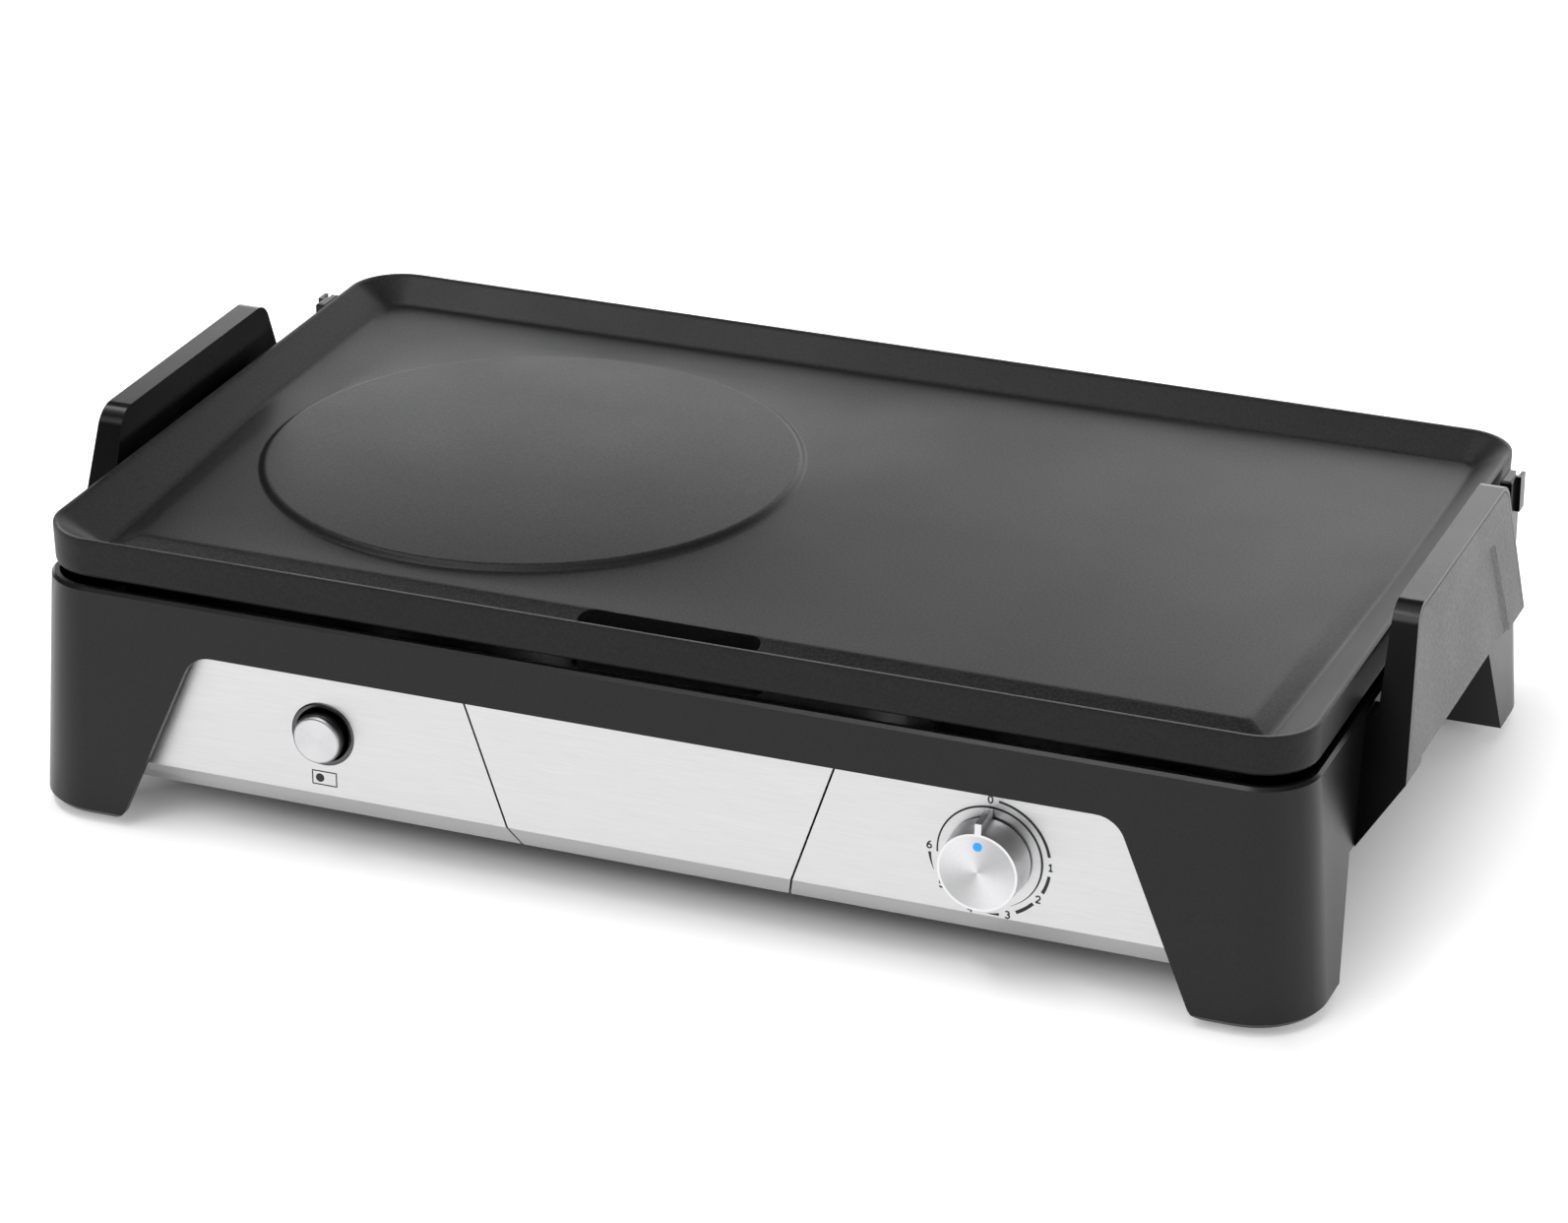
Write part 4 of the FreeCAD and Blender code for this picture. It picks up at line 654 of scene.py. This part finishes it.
CARRIED = {
    "knob_face": ["knob_face"],
    "lens": ["indicator_lens"],
    "housing": ["bottom_cover", "cord_gland", "inner_deck", "tray_rail_left", "tray_rail_right",
                "switch_body"],
    "rubber": ["foot_front_left", "foot_front_right", "foot_rear_left", "foot_rear_right", "plate_pads"],
    "inner": ["switch_bracket", "thermostat_bracket", "element_brackets", "thermostat_shaft",
              "button_spring", "thermostat_body"],
    "sheet": ["heat_reflector"],
    "element": ["main_heating_element", "zone_heating_element", "thermostat_probe"],
    "pale": ["terminal_block", "cord_clamp", "thermal_fuse", "button_plunger"],
    "wire": ["supply_wires", "zone_wires"],
    "screw": [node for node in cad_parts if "screws" in node],
}
for material, nodes in CARRIED.items():
    for node in nodes:
        paint(node, material)

# ------------------------------------------------------------------ printed dial and symbol

# all in mm
PANEL_Y = -146.0
INK_LIFT = 0.06
INK_SUNK = 0.02

# radius, first and last clock angle, first and last width, steps
SCALE_BANDS = (
    (20.0, 266, 360, 0.60, 0.85, 60), (20.0, 0, 90, 0.85, 0.90, 60), (20.0, 90, 155, 0.90, 0.10, 60),
    (23.0, 8, 80, 0.90, 1.15, 28), (23.0, 99, 118, 1.20, 1.35, 8), (22.9, 133, 153, 1.35, 1.35, 8),
    (22.8, 170, 181, 1.15, 0.10, 8), (22.9, 206, 227, 1.25, 1.20, 8), (23.0, 247, 265, 0.10, 1.15, 8),
)
NUMERAL_CLOCK = {"0": 0, "1": 90, "2": 126, "3": 162, "4": 198, "5": 232, "6": 272}
NUMERAL_RADIUS = 23.1
NUMERAL_WIDTH = 2.05
NUMERAL_PEN = 0.60

# a small plan of the plate with its round zone, under the push button
ICON = (BUTTON[0], 31.0)
ICON_HALF_X = 5.2
ICON_HALF_Z = 3.0
ICON_LINE = 0.45
ICON_DISC_SHIFT = -1.9
ICON_DISC_RADIUS = 1.75
ICON_DISC_SIDES = 32


def panel_point(centre, radius, clock):
    """A point on the panel at a radius and a clockwise angle from the top."""
    turn = math.radians(clock)
    return centre[0] + radius * math.sin(turn), centre[1] + radius * math.cos(turn)


def printed(name, outlines):
    """Flat printed shapes on a panel, from closed outlines of (x, z) points."""
    work = bmesh.new()
    for points in outlines:
        front = [work.verts.new((x * MM, (PANEL_Y - INK_LIFT) * MM, z * MM)) for x, z in points]
        back = [work.verts.new((x * MM, (PANEL_Y + INK_SUNK) * MM, z * MM)) for x, z in points]
        work.faces.new(front)
        for k in range(len(points)):
            ahead = (k + 1) % len(points)
            work.faces.new((front[k], back[k], back[ahead], front[ahead]))
    bmesh.ops.recalc_face_normals(work, faces=work.faces)
    finish_piece(from_bmesh(name, work, 30), "base", "ink", "fascia_steel")


def band(radius, start, end, width_start, width_end, steps):
    """An arc band round the dial, its width changing from start to end."""
    outer, inner = [], []
    for k in range(steps + 1):
        f = k / steps
        width = width_start + (width_end - width_start) * f
        clock = start + (end - start) * f
        outer.append(panel_point(KNOB, radius + width / 2, clock))
        inner.append(panel_point(KNOB, radius - width / 2, clock))
    return outer + list(reversed(inner))


def oval(x, z, half_x, half_z, start, end, steps=16):
    """Points of an oval's arc, its angles counted from +X towards +Z."""
    turns = [math.radians(start + (end - start) * k / steps) for k in range(steps + 1)]
    return [(x + half_x * math.cos(turn), z + half_z * math.sin(turn)) for turn in turns]


# pen strokes of the numerals, in numeral widths
STROKES = {
    "0": [oval(0, 0, 0.40, 0.65, 0, 180), oval(0, 0, 0.40, 0.65, 180, 360)],
    "1": [[(-0.28, 0.36), (0.08, 0.66)], [(0.08, 0.75), (0.08, -0.65)], [(-0.26, -0.65), (0.42, -0.65)]],
    "2": [oval(0, 0.28, 0.38, 0.38, 165, -35) + [(-0.40, -0.62)], [(-0.45, -0.65), (0.45, -0.65)]],
    "3": [oval(-0.02, 0.33, 0.36, 0.32, 150, -90), oval(-0.02, -0.29, 0.42, 0.37, 90, -150)],
    "4": [[(0.12, 0.70), (-0.42, -0.28)], [(-0.46, -0.28), (0.45, -0.28)], [(0.18, 0.75), (0.18, -0.75)]],
    "5": [[(0.38, 0.65), (-0.32, 0.65)], [(-0.32, 0.75), (-0.36, 0.05)],
          oval(-0.02, -0.22, 0.42, 0.43, 135, -150)],
    "6": [oval(0, -0.27, 0.38, 0.38, 0, 180), oval(0, -0.27, 0.38, 0.38, 180, 360),
          oval(0.30, -0.27, 0.68, 0.92, 90, 180)],
}


def sweep(points, width):
    """The outline of a line of one width drawn through points."""
    one_side, other_side = [], []
    for k, (x, z) in enumerate(points):
        ahead, behind = points[min(k + 1, len(points) - 1)], points[max(k - 1, 0)]
        along_x, along_z = ahead[0] - behind[0], ahead[1] - behind[1]
        half = width / 2 / math.hypot(along_x, along_z)
        one_side.append((x - along_z * half, z + along_x * half))
        other_side.append((x + along_z * half, z - along_x * half))
    return one_side + list(reversed(other_side))


def numeral(text, clock):
    """One numeral beside the scale, upright."""
    x, z = panel_point(KNOB, NUMERAL_RADIUS, clock)
    lines = [[(x + NUMERAL_WIDTH * u, z + NUMERAL_WIDTH * v) for u, v in line] for line in STROKES[text]]
    printed(f"dial_numeral_{text}", [sweep(line, NUMERAL_PEN) for line in lines])


def rectangle(left, top, right, bottom):
    """The corners of a rectangle on the panel."""
    return [(left, top), (right, top), (right, bottom), (left, bottom)]


def zone_icon():
    """The outline of the plate in four bars, and the disc of its zone."""
    left, right = ICON[0] - ICON_HALF_X, ICON[0] + ICON_HALF_X
    bottom, top = ICON[1] - ICON_HALF_Z, ICON[1] + ICON_HALF_Z
    shapes = [
        rectangle(left, top, right, top - ICON_LINE),
        rectangle(left, bottom + ICON_LINE, right, bottom),
        rectangle(left, top - ICON_LINE, left + ICON_LINE, bottom + ICON_LINE),
        rectangle(right - ICON_LINE, top - ICON_LINE, right, bottom + ICON_LINE),
    ]
    disc_centre = (ICON[0] + ICON_DISC_SHIFT, ICON[1])
    clocks = [360 * k / ICON_DISC_SIDES for k in range(ICON_DISC_SIDES)]
    shapes.append([panel_point(disc_centre, ICON_DISC_RADIUS, clock) for clock in clocks])
    printed("zone_symbol", shapes)


printed("dial_scale", [band(*values) for values in SCALE_BANDS])
for text, clock in NUMERAL_CLOCK.items():
    numeral(text, clock)
zone_icon()

# ------------------------------------------------------------------ stage, light and camera

# all in metres
FLOOR_HALF = 8.0
FOOTPRINT_HALF_X = 0.225
FOOTPRINT_HALF_Y = 0.130
GLOW_START = -0.02
GLOW_END = 0.06
GLOW = 0.60


def pale_paper():
    """Off-white paper, lit up a little beside the object so that it stays pale there."""
    m = Shader("pale_paper")
    m.tint(m.noise(m.place(), 3, 2.0, 0.5), (0.80, 0.80, 0.80), (0.83, 0.83, 0.83))
    m.set(Roughness=0.9, Emission__Color=(1, 1, 1, 1))
    split = m.node("SeparateXYZ")
    m.link(m.place(), split.inputs[0])
    beside = m.maths("SUBTRACT", m.maths("ABSOLUTE", split.outputs["X"]), FOOTPRINT_HALF_X)
    before = m.maths("SUBTRACT", m.maths("ABSOLUTE", split.outputs["Y"]), FOOTPRINT_HALF_Y)
    glow = m.ramp(m.maths("MAXIMUM", beside, before), GLOW_START, GLOW_END, 0.0, GLOW)
    m.link(glow, m.bsdf.inputs["Emission Strength"])
    return m.material


def build_floor():
    """A wide flat floor under the part."""
    work = bmesh.new()
    corners = rectangle(-FLOOR_HALF, -FLOOR_HALF, FLOOR_HALF, FLOOR_HALF)
    work.faces.new([work.verts.new((x, y, 0)) for x, y in corners])
    floor = from_bmesh("studio_floor", work)
    floor.data.materials.append(pale_paper())


def build_world():
    """A dim room with a pale ceiling straight above."""
    world = bpy.data.worlds.new("studio")
    world.use_nodes = True
    sky = world.node_tree
    ramp = sky.nodes.new("ShaderNodeMapRange")
    split = sky.nodes.new("ShaderNodeSeparateXYZ")
    coords = sky.nodes.new("ShaderNodeTexCoord")
    sky.links.new(coords.outputs["Generated"], split.inputs[0])
    sky.links.new(split.outputs["Z"], ramp.inputs["Value"])
    for key, value in {"From Min": 0.86, "From Max": 0.98, "To Min": 0.12, "To Max": 1.2}.items():
        ramp.inputs[key].default_value = value
    sky.links.new(ramp.outputs["Result"], sky.nodes["Background"].inputs["Strength"])
    sky.nodes["Background"].inputs["Color"].default_value = (1, 1, 1, 1)
    bpy.context.scene.world = world


def area(name, place, target, size, radiance):
    """A soft rectangular light aimed at a point; its power follows from its brightness and size."""
    data = bpy.data.lights.new(name, "AREA")
    data.shape = "RECTANGLE"
    data.size, data.size_y = size
    data.energy = radiance * math.pi * size[0] * size[1]
    made = bpy.data.objects.new(name, data)
    bpy.context.collection.objects.link(made)
    made.location = place
    made.rotation_euler = (Vector(target) - Vector(place)).to_track_quat("-Z", "Y").to_euler()


def build_camera(place, azimuth, elevation, roll, lens_mm):
    """A camera at a place, its direction and roll given in degrees."""
    data = bpy.data.cameras.new("camera")
    data.sensor_width = 36.0
    data.lens = lens_mm
    camera = bpy.data.objects.new("camera", data)
    bpy.context.collection.objects.link(camera)
    azimuth, elevation, roll = (math.radians(angle) for angle in (azimuth, elevation, roll))
    back = Vector((math.sin(azimuth) * math.cos(elevation), -math.cos(azimuth) * math.cos(elevation),
                   math.sin(elevation)))
    level_right = (-back).cross(Vector((0, 0, 1))).normalized()
    level_up = level_right.cross(-back)
    right = math.cos(roll) * level_right + math.sin(roll) * level_up
    up = -math.sin(roll) * level_right + math.cos(roll) * level_up
    camera.matrix_world = Matrix.Translation(place) @ Matrix((right, up, back)).transposed().to_4x4()
    bpy.context.scene.camera = camera


build_floor()
build_world()
area("back_panel", (-0.35, 0.85, 0.28), (-0.35, 0.0, 0.28), size=(3.0, 0.43), radiance=2.45)
area("back_corner", (0.10, 0.85, 0.58), (0.10, 0.0, 0.45), size=(0.30, 0.12), radiance=4.0)
area("front_key", (-0.6, -1.9, 1.7), (0, 0, 0.05), size=(1.6, 0.9), radiance=3.6)
area("overhead", (-0.7, -0.42, 2.1), (0, 0.0, 0.05), size=(2.6, 0.30), radiance=9.0)
area("right_fill", (1.9, -0.2, 0.60), (0.25, 0, 0.05), size=(1.8, 0.9), radiance=1.8)
build_camera((0.7093, -1.7974, 0.9412), azimuth=21.642, elevation=24.5, roll=0.04, lens_mm=125.25)
bpy.context.scene.view_settings.view_transform = "Standard"
